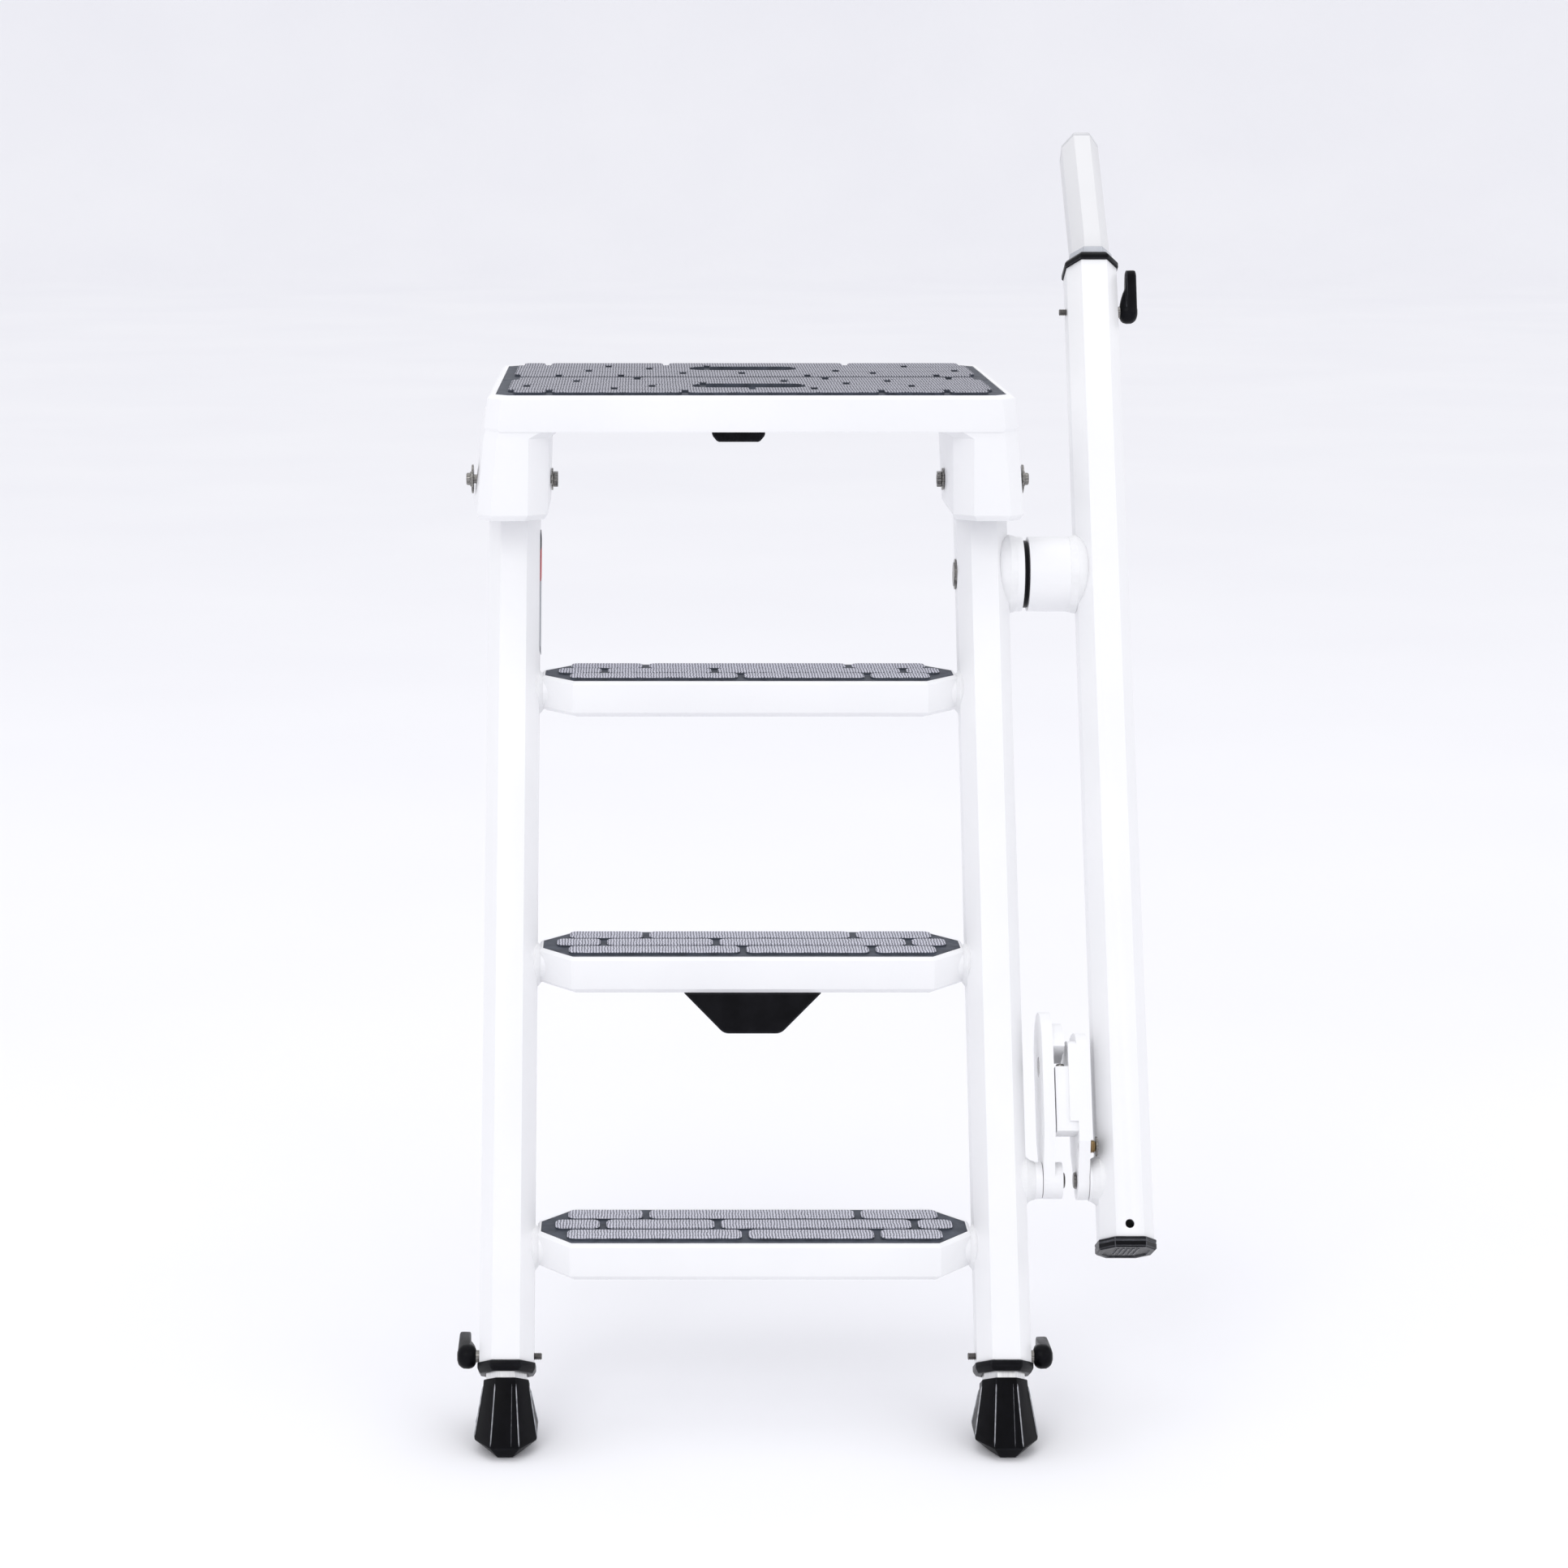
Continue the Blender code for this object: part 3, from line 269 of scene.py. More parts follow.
def lip_plastic():
    """Translucent-looking grey wiper ring, with painted shade darkening its edges."""
    g = Graph("grey_wiper_ring")
    body = g.ramp(g.noise(70.0, 4.0), [(0.3, (0.500, 0.520, 0.560)), (0.75, (0.600, 0.615, 0.650))])
    # painted shade: the ring's sharp edges are painted near black
    g.colour(g.mixed(g.edges(0.0009, 5.0), body, (0.030, 0.034, 0.042)))
    g.rough(g.span(g.noise(140.0, 3.0), 0.30, 0.48))
    g.bump(g.noise(1200.0, 2.0, 0.6), 0.10, 0.0003)
    return g.material


def screw_steel():
    """Black-oxide screw ends with oil in the thread roots."""
    g = Graph("dark_screw_steel")
    lines = g.noise(120.0, 3.0, 0.6, g.mapped((1.0, 18.0, 18.0)))
    g.colour(g.ramp(lines, [(0.3, (0.05, 0.048, 0.046)), (0.7, (0.26, 0.25, 0.24))]))
    g.rough(g.span(lines, 0.22, 0.42))
    g.bump(lines, 0.15, 0.0002)
    g.set(Metallic=1.0)
    return g.material


def mat_base():
    """Dark slate rubber that the raised bars stand on."""
    g = Graph("slate_mat_base")
    g.colour(g.ramp(g.noise(120.0, 4.0), [(0.3, (0.030, 0.036, 0.050)), (0.8, (0.072, 0.084, 0.112))]))
    g.rough(g.span(g.noise(200.0, 3.0), 0.60, 0.80))
    g.bump(g.noise(1300.0, 3.0), 0.25, 0.0003)
    return g.material


def mat_bar(name, shade):
    """Lighter grey raised bars with a coarse woven grip pattern; shade scales how light they are."""
    g = Graph(name)
    warp = g.wave(128.0, "X", 3.2)
    weft = g.wave(112.0, "Y", 5.0)
    weave = g.math("ADD", g.math("MULTIPLY", warp, 0.68), g.math("MULTIPLY", weft, 0.32))
    worn = g.noise(420.0, 4.0, 0.7)
    grain = g.math("MULTIPLY", weave, g.span(worn, 0.40, 1.55))
    tones = ((0.10, (0.070, 0.076, 0.096)), (0.38, (0.345, 0.346, 0.402)), (0.80, (0.710, 0.712, 0.800)))
    g.colour(g.ramp(grain, shaded(tones, shade)))
    g.rough(g.span(worn, 0.62, 0.85))
    g.bump(grain, 0.70, 0.0008)
    return g.material


def stainless():
    """Turned stainless steel."""
    g = Graph("stainless_steel")
    lines = g.noise(90.0, 3.0, 0.5, g.mapped((1.0, 14.0, 14.0)))
    g.colour(g.ramp(lines, [(0.3, (0.12, 0.115, 0.11)), (0.7, (0.36, 0.35, 0.33))]))
    g.rough(g.span(lines, 0.20, 0.38))
    g.bump(lines, 0.10, 0.0002)
    g.set(Metallic=1.0)
    return g.material


def bare_aluminium():
    """Satin anodised tube, drawn lengthwise."""
    g = Graph("bare_aluminium")
    lines = g.noise(60.0, 3.0, 0.5, g.mapped((16.0, 1.2, 1.2)))
    g.colour(g.ramp(lines, [(0.3, (0.66, 0.66, 0.66)), (0.7, (0.80, 0.80, 0.79))]))
    g.rough(g.span(lines, 0.26, 0.42))
    g.bump(lines, 0.08, 0.0002)
    g.set(Metallic=1.0)
    return g.material


def brass():
    """Turned brass, a little dull."""
    g = Graph("turned_brass")
    lines = g.noise(150.0, 3.0, 0.5, g.mapped((10.0, 1.0, 1.0)))
    g.colour(g.ramp(lines, [(0.3, (0.28, 0.18, 0.08)), (0.7, (0.56, 0.42, 0.22))]))
    g.rough(g.span(lines, 0.22, 0.40))
    g.bump(lines, 0.10, 0.0002)
    g.set(Metallic=1.0)
    return g.material


def label_film():
    """A plain film label in three colour bands, with no lettering."""
    low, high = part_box("leg_label")
    g = Graph("label_film")
    split = g.add("ShaderNodeSeparateXYZ")
    g.link(g.place, split.inputs["Vector"])
    height = g.add("ShaderNodeMapRange")
    height.inputs["From Min"].default_value = low.z
    height.inputs["From Max"].default_value = high.z
    g.link(split.outputs["Z"], height.inputs["Value"])
    bands = g.ramp(height.outputs["Result"], [(0.0, (0.42, 0.44, 0.47)), (0.60, (0.48, 0.02, 0.03)),
                                              (0.84, (0.020, 0.020, 0.022))])
    bands.node.color_ramp.interpolation = "CONSTANT"
    g.colour(bands)
    g.rough(g.span(g.noise(120.0, 2.0), 0.30, 0.45))
    g.bump(g.noise(500.0, 2.0), 0.08, 0.0003)
    return g.material


DECK_PAINTED_SHADE = 0.64                 # painted shade: the platform's bars, as a share of how light the treads' are, darker where seen at a flatter angle
UPPER_RAIL_SHADE = 0.84           # the upper rail's coat, as a share of the white one

LOOKS = {
    "powder_coat": powder_coat("white_powder_coat", 1.0),
    "black_plastic": black_plastic(),
    "boot_rubber": boot_rubber(),
    "mat_rubber": mat_bar("grey_mat_bar", 1.0),
    "stainless_steel": stainless(),
    "bare_aluminium": bare_aluminium(),
    "brass": brass(),
    "grey_plastic": grey_plastic(),
    "label_film": label_film(),
}
WELD = weld_coat()
PAINTED_RIB_HIGHLIGHT = painted_rib_highlight()
LIP = lip_plastic()
SCREW_STEEL = screw_steel()
MAT_BASE = mat_base()
# painted shade: a darker copy of the treads' bars, for the platform's bars
DECK_BAR_PAINTED_SHADE = mat_bar("grey_deck_bar", DECK_PAINTED_SHADE)
UPPER_RAIL_COAT = powder_coat("grey_white_coat", UPPER_RAIL_SHADE)
SLOT_OF = {entry["node"]: entry["material_slot"] for entry in frame["record"]["subparts"]}


def dress(obj, look):
    """Gives an object one material in place of any that it has."""
    obj.data.materials.clear()
    obj.data.materials.append(look)


for node_name, node_object in NODES.items():
    dress(node_object, LOOKS[SLOT_OF[node_name]])
dress(NODES["rail_upper_tube"], UPPER_RAIL_COAT)


# ---------------------------------------------------------------- mesh helpers

SMOOTH_ANGLE = math.radians(32)         # sharper edges stay sharp on the added pieces
SOFT_SMOOTH_ANGLE = math.radians(50)    # and these on the softened CAD nodes
SOFT_EDGE_ANGLE = math.radians(24)      # sharper CAD edges are rounded
SOFT_SEGMENTS = 3
MERGE_DISTANCE = 0.00002
FLAT_ANGLE = math.radians(1.0)          # faces nearer than this to one plane are one face


def new_object(name, shape):
    """Turns a bmesh into a linked object and frees it."""
    mesh = bpy.data.meshes.new(name)
    shape.to_mesh(mesh)
    shape.free()
    obj = bpy.data.objects.new(name, mesh)
    bpy.context.scene.collection.objects.link(obj)
    return obj


def smooth(obj, angle=SMOOTH_ANGLE):
    """Shades an object smooth, except across edges sharper than the angle."""
    obj.data.shade_smooth()
    obj.data.set_sharp_from_angle(angle=angle)


def apply_modifiers(obj):
    """Gives an object the mesh that its modifiers make."""
    bpy.context.view_layer.update()
    graph = bpy.context.evaluated_depsgraph_get()
    mesh = bpy.data.meshes.new_from_object(obj.evaluated_get(graph))
    obj.modifiers.clear()
    obj.data = mesh


def settle(obj, body, slot_name, *nodes):
    """Ties a piece to its body and to the CAD nodes that it stands for; its slot name is not used."""
    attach(obj, body)
    if nodes:
        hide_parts(*nodes)


def whole_faces(node):
    """A CAD node's mesh as a bmesh, each flat face in one piece."""
    shape = bmesh.new()
    shape.from_mesh(NODES[node].data)
    bmesh.ops.remove_doubles(shape, verts=shape.verts, dist=MERGE_DISTANCE)
    bmesh.ops.dissolve_limit(shape, angle_limit=FLAT_ANGLE, verts=shape.verts, edges=shape.edges)
    return shape


def soften(node, width):
    """A copy of a CAD node with its sharp edges rounded; it stands for the node."""
    obj = new_object(node + "_surface", whole_faces(node))
    edge = obj.modifiers.new("edge", "BEVEL")
    edge.width = width
    edge.segments = SOFT_SEGMENTS
    edge.limit_method = "ANGLE"
    edge.angle_limit = SOFT_EDGE_ANGLE
    apply_modifiers(obj)
    dress(obj, NODES[node].data.materials[0])
    smooth(obj, SOFT_SMOOTH_ANGLE)
    settle(obj, BODY_OF[node], SLOT_OF[node], node)


def place(x, v, w):
    """A point given across, square to and along the leg, in the row frame."""
    return Vector((x, FLOOR_LINE_Y, 0.0)) + ACROSS_LEG * v + UP_LEG * w


def leg_heights(node):
    """How far up along the leg each corner of a CAD node lies."""
    foot = place(RAIL_X, 0.0, 0.0)
    return [(vert.co - foot).dot(UP_LEG) for vert in NODES[node].data.vertices]


def middle_of(node):
    """The middle of a CAD node's box."""
    low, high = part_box(node)
    return (low + high) / 2


def add_rings(shape, rings, capped=True):
    """Walls between rings of points, closed at both ends unless capped is false."""
    loops = [[shape.verts.new(point) for point in ring] for ring in rings]
    for low, high in zip(loops, loops[1:]):
        for i in range(len(low)):
            j = (i + 1) % len(low)
            shape.faces.new((low[i], low[j], high[j], high[i]))
    if capped:
        shape.faces.new(list(reversed(loops[0])))
        shape.faces.new(loops[-1])


def rounded(x0, x1, y0, y1, radius, steps=5):
    """A rectangle with round corners, counter-clockwise."""
    points = []
    for cx, cy, start in ((x1 - radius, y1 - radius, 0.0), (x0 + radius, y1 - radius, 90.0),
                          (x0 + radius, y0 + radius, 180.0), (x1 - radius, y0 + radius, 270.0)):
        for i in range(steps + 1):
            a = math.radians(start + 90.0 * i / steps)
            points.append((cx + radius * math.cos(a), cy + radius * math.sin(a)))
    return points


def octagon_loop(width, depth, cut_x, cut_v):
    """A rectangle with cut corners, centred; cut_x and cut_v are a cut's sizes along width and depth."""
    x, v = width / 2, depth / 2
    return [(-x, -v + cut_v), (-x + cut_x, -v), (x - cut_x, -v), (x, -v + cut_v),
            (x, v - cut_v), (x - cut_x, v), (-x + cut_x, v), (-x, v - cut_v)]


def turned_x(name, profile, centre, look, sides, ripple=None):
    """A piece turned about X through centre. The profile runs (x, radius), and both its ends are closed."""
    shape = bmesh.new()
    rings = []
    for x, radius in profile:
        ring = []
        for i in range(sides):
            a = 2 * math.pi * i / sides
            reach = radius + (ripple(x, a) if ripple else 0.0)
            ring.append((x, centre.y + reach * math.cos(a), centre.z + reach * math.sin(a)))
        rings.append(ring)
    add_rings(shape, rings)
    bmesh.ops.recalc_face_normals(shape, faces=shape.faces)
    obj = new_object(name, shape)
    dress(obj, look)
    smooth(obj)
    return obj


# ---------------------------------------------------------------- mats

BASE_SHARE = 0.42                 # part of a mat's thickness below its raised bars
BAR_SINK = 0.0003                 # how deep a bar stands in the base
BAR_BEVEL = 0.0008
BAR_EDGE = ((0.0, 1.0), (0.35, 0.3), (1.0, 0.0))    # its rounding: inset, then drop, as shares of BAR_BEVEL
BAR_CORNER = 0.0062
BAR_CORNER_SHARE = 0.45           # the most of a bar's width or length that one corner takes
BAR_GAP_HALF = 0.0028             # half of a gap between two bars of a row
BAR_TOP_TILT = 0.15               # bar faces whose normal rises more than this carry the knit
CUTTER_REACH = 0.01               # how far a cutter goes past the mat

# The rows of a mat: half a row's length, then the places of its gaps from the middle
TREAD_ROWS = ((0.1560, (-0.0080, 0.1020)), (0.1665, (-0.1265, -0.0303, 0.1350)), (0.1560, (-0.0902, 0.0888)))
TREAD_ROW_PITCH = 0.0268
TREAD_BAR_HALF = 0.0112
DECK_ROWS = ((0.2045, (-0.1738, -0.0568, 0.1128, 0.1693)), (0.2100, (-0.1180, 0.0020, 0.0560)),
             (0.2100, (-0.1950, -0.0850, 0.1430)), (0.2100, (-0.0400, 0.0870)),
             (0.2100, (-0.1520, 0.0330, 0.1250)), (0.2045, (-0.0980, 0.0710, 0.1820)))
DECK_OUTER_MARGIN = 0.0075        # from a platform mat's outer edge to its first row
DECK_INNER_MARGIN = 0.0045        # from its edge at the platform's middle
DECK_ROW_GAP_HALF = 0.0012
HOLE_SEARCH_X, HOLE_SEARCH_Y = 0.06, 0.01       # a hole is this near a mat's middle, this far from its edges
HOLE_MARGIN_X, HOLE_MARGIN_Y = 0.0045, 0.0035   # how far the bars stay back from the hole
HOLE_CORNER = 0.016
HOLE_STEPS = 8


def add_bar(shape, x0, x1, y0, y1, low, high):
    """One raised bar with rounded ends and a rounded top edge."""
    radius = min(BAR_CORNER, (y1 - y0) * BAR_CORNER_SHARE, (x1 - x0) * BAR_CORNER_SHARE)
    rings = []
    levels = [(0.0, low)] + [(BAR_BEVEL * inset, high - BAR_BEVEL * drop) for inset, drop in BAR_EDGE]
    for inset, z in levels:
        outline = rounded(x0 + inset, x1 - inset, y0 + inset, y1 - inset, radius - inset)
        rings.append([(x, y, z) for x, y in outline])
    add_rings(shape, rings)


def bars_in_rows(rows, low, high):
    """rows: (y from, y to, x from, x to, gap centres)."""
    shape = bmesh.new()
    for y0, y1, x0, x1, gaps in rows:
        edges = [x0] + [side for gap in gaps for side in (gap - BAR_GAP_HALF, gap + BAR_GAP_HALF)] + [x1]
        for left, right in zip(edges[::2], edges[1::2]):
            add_bar(shape, left, right, y0, y1, low, high)
    return shape


def make_mat(node, rows, look, hole=None):
    """A mat: the CAD outline as a thin dark base, with lighter raised bars standing on it."""
    low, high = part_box(node)
    step = low.z + (high.z - low.z) * BASE_SHARE
    bars = new_object(node + "_bars", bars_in_rows(rows, step - BAR_SINK, high.z))
    if hole:
        shape = bmesh.new()
        heights = (low.z - CUTTER_REACH, high.z + CUTTER_REACH)
        add_rings(shape, [[(x, y, z) for x, y in hole] for z in heights])
        cutter = new_object(node + "_hole", shape)
        cut = bars.modifiers.new("hole", "BOOLEAN")
        cut.operation = "DIFFERENCE"
        cut.solver = "EXACT"
        cut.object = cutter
        apply_modifiers(bars)
        bpy.data.objects.remove(cutter)
    shape = bmesh.new()
    shape.from_mesh(NODES[node].data)
    for vert in shape.verts:
        vert.co.z = low.z + (vert.co.z - low.z) * BASE_SHARE
    base_faces = len(shape.faces)
    shape.from_mesh(bars.data)
    for index, face in enumerate(shape.faces):
        face.normal_update()
        face.material_index = 1 if index >= base_faces and face.normal.z > BAR_TOP_TILT else 0
    bpy.data.objects.remove(bars)
    mat = new_object(node + "_surface", shape)
    mat.data.materials.append(MAT_BASE)
    mat.data.materials.append(look)
    smooth(mat)
    settle(mat, BODY_OF[node], "mat_rubber", node)


def tread_mats():
    """A mat of three rows of bars on each tread."""
    for which in TREADS:
        node = "tread_mat_" + which
        centre = middle_of(node)
        rows = []
        for row, (half, gaps) in enumerate(TREAD_ROWS):
            y = centre.y + (row - 1) * TREAD_ROW_PITCH
            rows.append((y - TREAD_BAR_HALF, y + TREAD_BAR_HALF, centre.x - half, centre.x + half,
                         [centre.x + gap for gap in gaps]))
        make_mat(node, rows, LOOKS["mat_rubber"])


def platform_mats():
    """The platform's two mats. The rear one has the front one's gaps, the other way round."""
    for name, sign in (("front", 1), ("rear", -1)):
        node = "platform_mat_" + name
        low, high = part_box(node)
        middle = (low.x + high.x) / 2
        margins = (DECK_OUTER_MARGIN, DECK_INNER_MARGIN)[::sign]
        first, last = low.y + margins[0], high.y - margins[1]
        pitch = (last - first) / len(DECK_ROWS)
        rows = []
        for row, (half, gaps) in enumerate(DECK_ROWS):
            y = first + pitch * row
            rows.append((y + DECK_ROW_GAP_HALF, y + pitch - DECK_ROW_GAP_HALF, middle - half, middle + half,
                         [middle + sign * gap for gap in gaps[::sign]]))
        hole = [v.co for v in NODES[node].data.vertices if abs(v.co.x - middle) < HOLE_SEARCH_X
                and low.y + HOLE_SEARCH_Y < v.co.y < high.y - HOLE_SEARCH_Y]
        x0, x1 = min(p.x for p in hole) - HOLE_MARGIN_X, max(p.x for p in hole) + HOLE_MARGIN_X
        y0, y1 = min(p.y for p in hole) - HOLE_MARGIN_Y, max(p.y for p in hole) + HOLE_MARGIN_Y
        make_mat(node, rows, DECK_BAR_PAINTED_SHADE, rounded(x0, x1, y0, y1, HOLE_CORNER, HOLE_STEPS))


# ---------------------------------------------------------------- screws and bolts

CLAMP_SCREW_RADIUS = 0.0030
CLAMP_SCREW_PITCH = 0.0015
CLAMP_SHANK_INSET = 0.004         # from a tube's side to where the screw through it turns plain
BUSHING_PITCH = 0.0011
THREAD_SIDES = 28
THREAD_FIRST, THREAD_LAST = 0.5, 0.6    # pitches from a screw's ends to its first and last turns
THREAD_TURN = ((0.0, 1.0), (0.22, 1.0), (0.50, 0.84), (0.72, 0.84))     # shares of the pitch and the radius
SCREW_FACE, SCREW_RIM = 0.55, 0.80      # where a screw's end closes and starts, as shares of its radius

# A socket bolt's head from its recess to its seat: depth below the outer face, radius
BOLT_HEAD = ((0.0020, 0.0012), (0.0020, 0.0024), (0.0, 0.0030), (0.0, 0.0048), (0.0007, 0.0054),
             (0.0031, 0.0056), (0.0035, 0.0068), (0.0045, 0.0068), (0.0045, 0.0040))
BOLT_SHANK_RADIUS = 0.0040
BOLT_SIDES = 36


def threaded(node, radius, pitch, look, plain_from=None, plain_to=None):
    """A screw or bushing along X with ring-shaped threads; any plain shank lies between the two places."""
    low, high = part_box(node)
    profile = [(low.x, radius * SCREW_FACE), (low.x, radius * SCREW_RIM)]
    x = low.x + pitch * THREAD_FIRST
    while x < high.x - pitch * THREAD_LAST:
        if plain_from is not None and plain_from < x < plain_to:
            profile += [(x, radius), (plain_to, radius)]
            x = plain_to
        profile += [(x + pitch * along, radius * share) for along, share in THREAD_TURN]
        x += pitch
    profile += [(high.x, radius * SCREW_RIM), (high.x, radius * SCREW_FACE)]
    obj = turned_x(node + "_surface", profile, middle_of(node), look, THREAD_SIDES)
    settle(obj, BODY_OF[node], SLOT_OF[node], node)


def make_screws():
    """The three clamp screws and the plunger's bushing."""
    shank = TUBE_HALF - CLAMP_SHANK_INSET
    for side, x in (("left", LEFT_X), ("right", RIGHT_X), ("rail", RAIL_X)):
        threaded(side + "_knob_screw", CLAMP_SCREW_RADIUS, CLAMP_SCREW_PITCH, SCREW_STEEL,
                 x - shank, x + shank)
    low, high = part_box("plunger_bushing")
    threaded("plunger_bushing", (high.z - low.z) / 2, BUSHING_PITCH, LOOKS["brass"])


def make_socket_bolts():
    """Flanged round heads with a recess, on the platform's sockets."""
    for side, sign in (("left", -1), ("right", 1)):
        node = side + "_socket_bolt"
        low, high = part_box(node)
        outer, inner = (low.x, high.x) if sign < 0 else (high.x, low.x)
        profile = [(outer - sign * depth, radius) for depth, radius in BOLT_HEAD]
        profile += [(inner, BOLT_SHANK_RADIUS), (inner, BOLT_SHANK_RADIUS / 2)]
        bolt = turned_x(node + "_surface", profile, middle_of(node), LOOKS["stainless_steel"], BOLT_SIDES)
        settle(bolt, BODY_OF[node], "stainless_steel", node)


# ---------------------------------------------------------------- welds

WELD_RIPPLE = 0.00025
WELD_SLANT = 900.0                # how much the ripple turns for each metre along the bead's axis
COLLAR_WELD_SIDES, COLLAR_WELD_RIPPLES = 96, 34
STUB_WELD_SIDES, STUB_WELD_RIPPLES = 84, 24
STUB_WELD_FORWARD, STUB_WELD_DOWN = 0.0075, 0.0158  # a stub's axis, from its tread's middle and top

# Weld beads: how far inside the tube's side face, radius
BOSS_BEAD = ((-0.0010, 0.0346), (0.0030, 0.0328), (0.0070, 0.0300), (0.0100, 0.0245), (0.0110, 0.0100))
COLLAR_WELDS = (
    ("rail_boss_weld", "rail", "rail_pivot_boss", ((-0.0080, 0.0320), (-0.0070, 0.0333), *BOSS_BEAD)),
    ("leg_boss_weld", "frame", "rail_pivot_boss", ((-0.0075, 0.0320), (-0.0065, 0.0333), *BOSS_BEAD)),
    ("rail_lug_weld", "rail", "rail_brace_lug",
     ((-0.0058, 0.0165), (-0.0050, 0.0178), (-0.0020, 0.0196), (0.0010, 0.0222), (0.0060, 0.0222),
      (0.0100, 0.0190), (0.0110, 0.0100))),
    ("leg_lug_weld", "frame", "rail_brace_lug",
     ((-0.0090, 0.0145), (-0.0080, 0.0158), (-0.0040, 0.0172), (-0.0005, 0.0204), (0.0050, 0.0210),
      (0.0100, 0.0185), (0.0110, 0.0100))),
)
STUB_BEAD = ((-0.0034, 0.0150), (-0.0030, 0.0158), (-0.0012, 0.0180), (0.0004, 0.0196), (0.0030, 0.0180),
             (0.0034, 0.0100))


def make_weld(name, body, centre, face, inward, bead, sides, ripples):
    """One rippled bead round X on a tube's side face; inward is the sign of X into the tube."""
    profile = [(face + inward * depth, radius) for depth, radius in bead]
    weld = turned_x(name, profile, centre, WELD, sides,
                    lambda x, a: WELD_RIPPLE * math.sin(ripples * a + x * WELD_SLANT))
    settle(weld, body, "powder_coat")


def make_welds():
    """Weld collars where the bosses, lugs and tread stubs meet the tubes."""
    tube_sides = {"rail": (RAIL_X - TUBE_HALF, 1), "frame": (RIGHT_X + TUBE_HALF, -1)}
    for name, body, node, bead in COLLAR_WELDS:
        face, inward = tube_sides[body]
        make_weld(name, body, middle_of(node), face, inward, bead, COLLAR_WELD_SIDES, COLLAR_WELD_RIPPLES)
    for which in TREADS:
        low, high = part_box("tread_" + which)
        middle = (low + high) / 2
        centre = Vector((middle.x, middle.y - STUB_WELD_FORWARD, high.z - STUB_WELD_DOWN))
        for side, inward, face in (("left", -1, LEFT_X + TUBE_HALF), ("right", 1, RIGHT_X - TUBE_HALF)):
            make_weld("tread_%s_%s_weld" % (which, side), "frame", centre, face, inward, STUB_BEAD,
                      STUB_WELD_SIDES, STUB_WELD_RIPPLES)


# ---------------------------------------------------------------- knobs

# How far out from the tube, hub radius, tip radius, share of the full reach
KNOB_LEVELS = ((0.0032, 0.0058, 0.0052, 0.0), (0.0045, 0.0082, 0.0060, 0.20), (0.0062, 0.0096, 0.0060, 0.36),
               (0.0082, 0.0102, 0.0060, 0.50), (0.0088, 0.0103, 0.0054, 0.97), (0.0094, 0.0104, 0.0062, 1.0),
               (0.0135, 0.0102, 0.0064, 1.0), (0.0160, 0.0088, 0.0064, 1.0), (0.0175, 0.0072, 0.0060, 1.0),
               (0.0182, 0.0058, 0.0048, 0.98), (0.0184, 0.0046, 0.0034, 0.95))
KNOB_REACH = 0.0330
KNOB_LEAST_OFFSET = 0.0005        # a tip circle sticks out of its hub's at least this far
HUB_STEPS, TIP_STEPS = 14, 8

# A knob's steel pieces: how far out from the tube, radius
KNOB_INSERT = ((0.0172, 0.0020), (0.0185, 0.0042), (0.0188, 0.0040), (0.0188, 0.0020), (0.0180, 0.0016))
KNOB_NECK = ((0.0004, 0.0034), (0.0004, 0.0052), (0.0036, 0.0052), (0.0036, 0.0034))
KNOB_STEEL_SIDES = 24


def knob_outline(direction, hub, tip, reach):
    """The hull of a hub circle and a tip circle along direction, an angle in the plane across X."""
    points = []
    spread = math.acos((hub - tip) / reach)
    for i in range(HUB_STEPS + 1):
        a = spread + (2 * math.pi - 2 * spread) * i / HUB_STEPS
        points.append((hub * math.cos(direction + a), hub * math.sin(direction + a)))
    for i in range(TIP_STEPS + 1):
        a = -spread + 2 * spread * i / TIP_STEPS
        points.append((reach * math.cos(direction) + tip * math.cos(direction + a),
                       reach * math.sin(direction) + tip * math.sin(direction + a)))
    return points


def make_knob(side, sign, tube_x):
    """A moulded lever knob: flared boss, broad lever with a rounded outer face, steel insert and neck."""
    node = side + "_knob"
    joint = Vector(JOINTS[side + "_clamp_turn"]["pos_m"])
    tip = max((v.co for v in NODES[node].data.vertices),
              key=lambda p: (p.y - joint.y) ** 2 + (p.z - joint.z) ** 2)
    direction = math.atan2(tip.z - joint.z, tip.y - joint.y)
    face = tube_x + sign * TUBE_HALF
    shape = bmesh.new()
    rings = []
    for out, hub, end, share in KNOB_LEVELS:
        reach = max(KNOB_REACH * share, hub - end + KNOB_LEAST_OFFSET)
        rings.append([(face + sign * out, joint.y + y, joint.z + z)
                      for y, z in knob_outline(direction, hub, end, reach)])
    add_rings(shape, rings)
    bmesh.ops.recalc_face_normals(shape, faces=shape.faces)
    knob = new_object(node + "_surface", shape)
    dress(knob, LOOKS["black_plastic"])
    smooth(knob)
    settle(knob, BODY_OF[node], "black_plastic", node)
    for ending, outline in (("_insert", KNOB_INSERT), ("_neck", KNOB_NECK)):
        steel = turned_x(node + ending, [(face + sign * out, radius) for out, radius in outline],
                         joint, LOOKS["stainless_steel"], KNOB_STEEL_SIDES)
        settle(steel, BODY_OF[node], "stainless_steel")


# ---------------------------------------------------------------- boots, collar and end cap

RIB_SHORTEST = 0.022              # shorter boot edges have no rib
RIB_UPRIGHT = 0.75                # nor have edges that lean further, by the cosine to the boot's slide
RIB_CORNER = math.radians(8)      # nor have flatter corners
RIB_SINK = 0.0006
RIB_SECTIONS = ((0.0, 0.0002), (0.06, 0.0007), (0.94, 0.0007), (1.0, 0.0002))   # share of its length, size
SEAM_FOOT, SEAM_TOP = 0.72, 0.80  # where the seam lies between the front's two ribs
SEAM_SCALE = 0.55                 # its thickness, as a share of a rib's

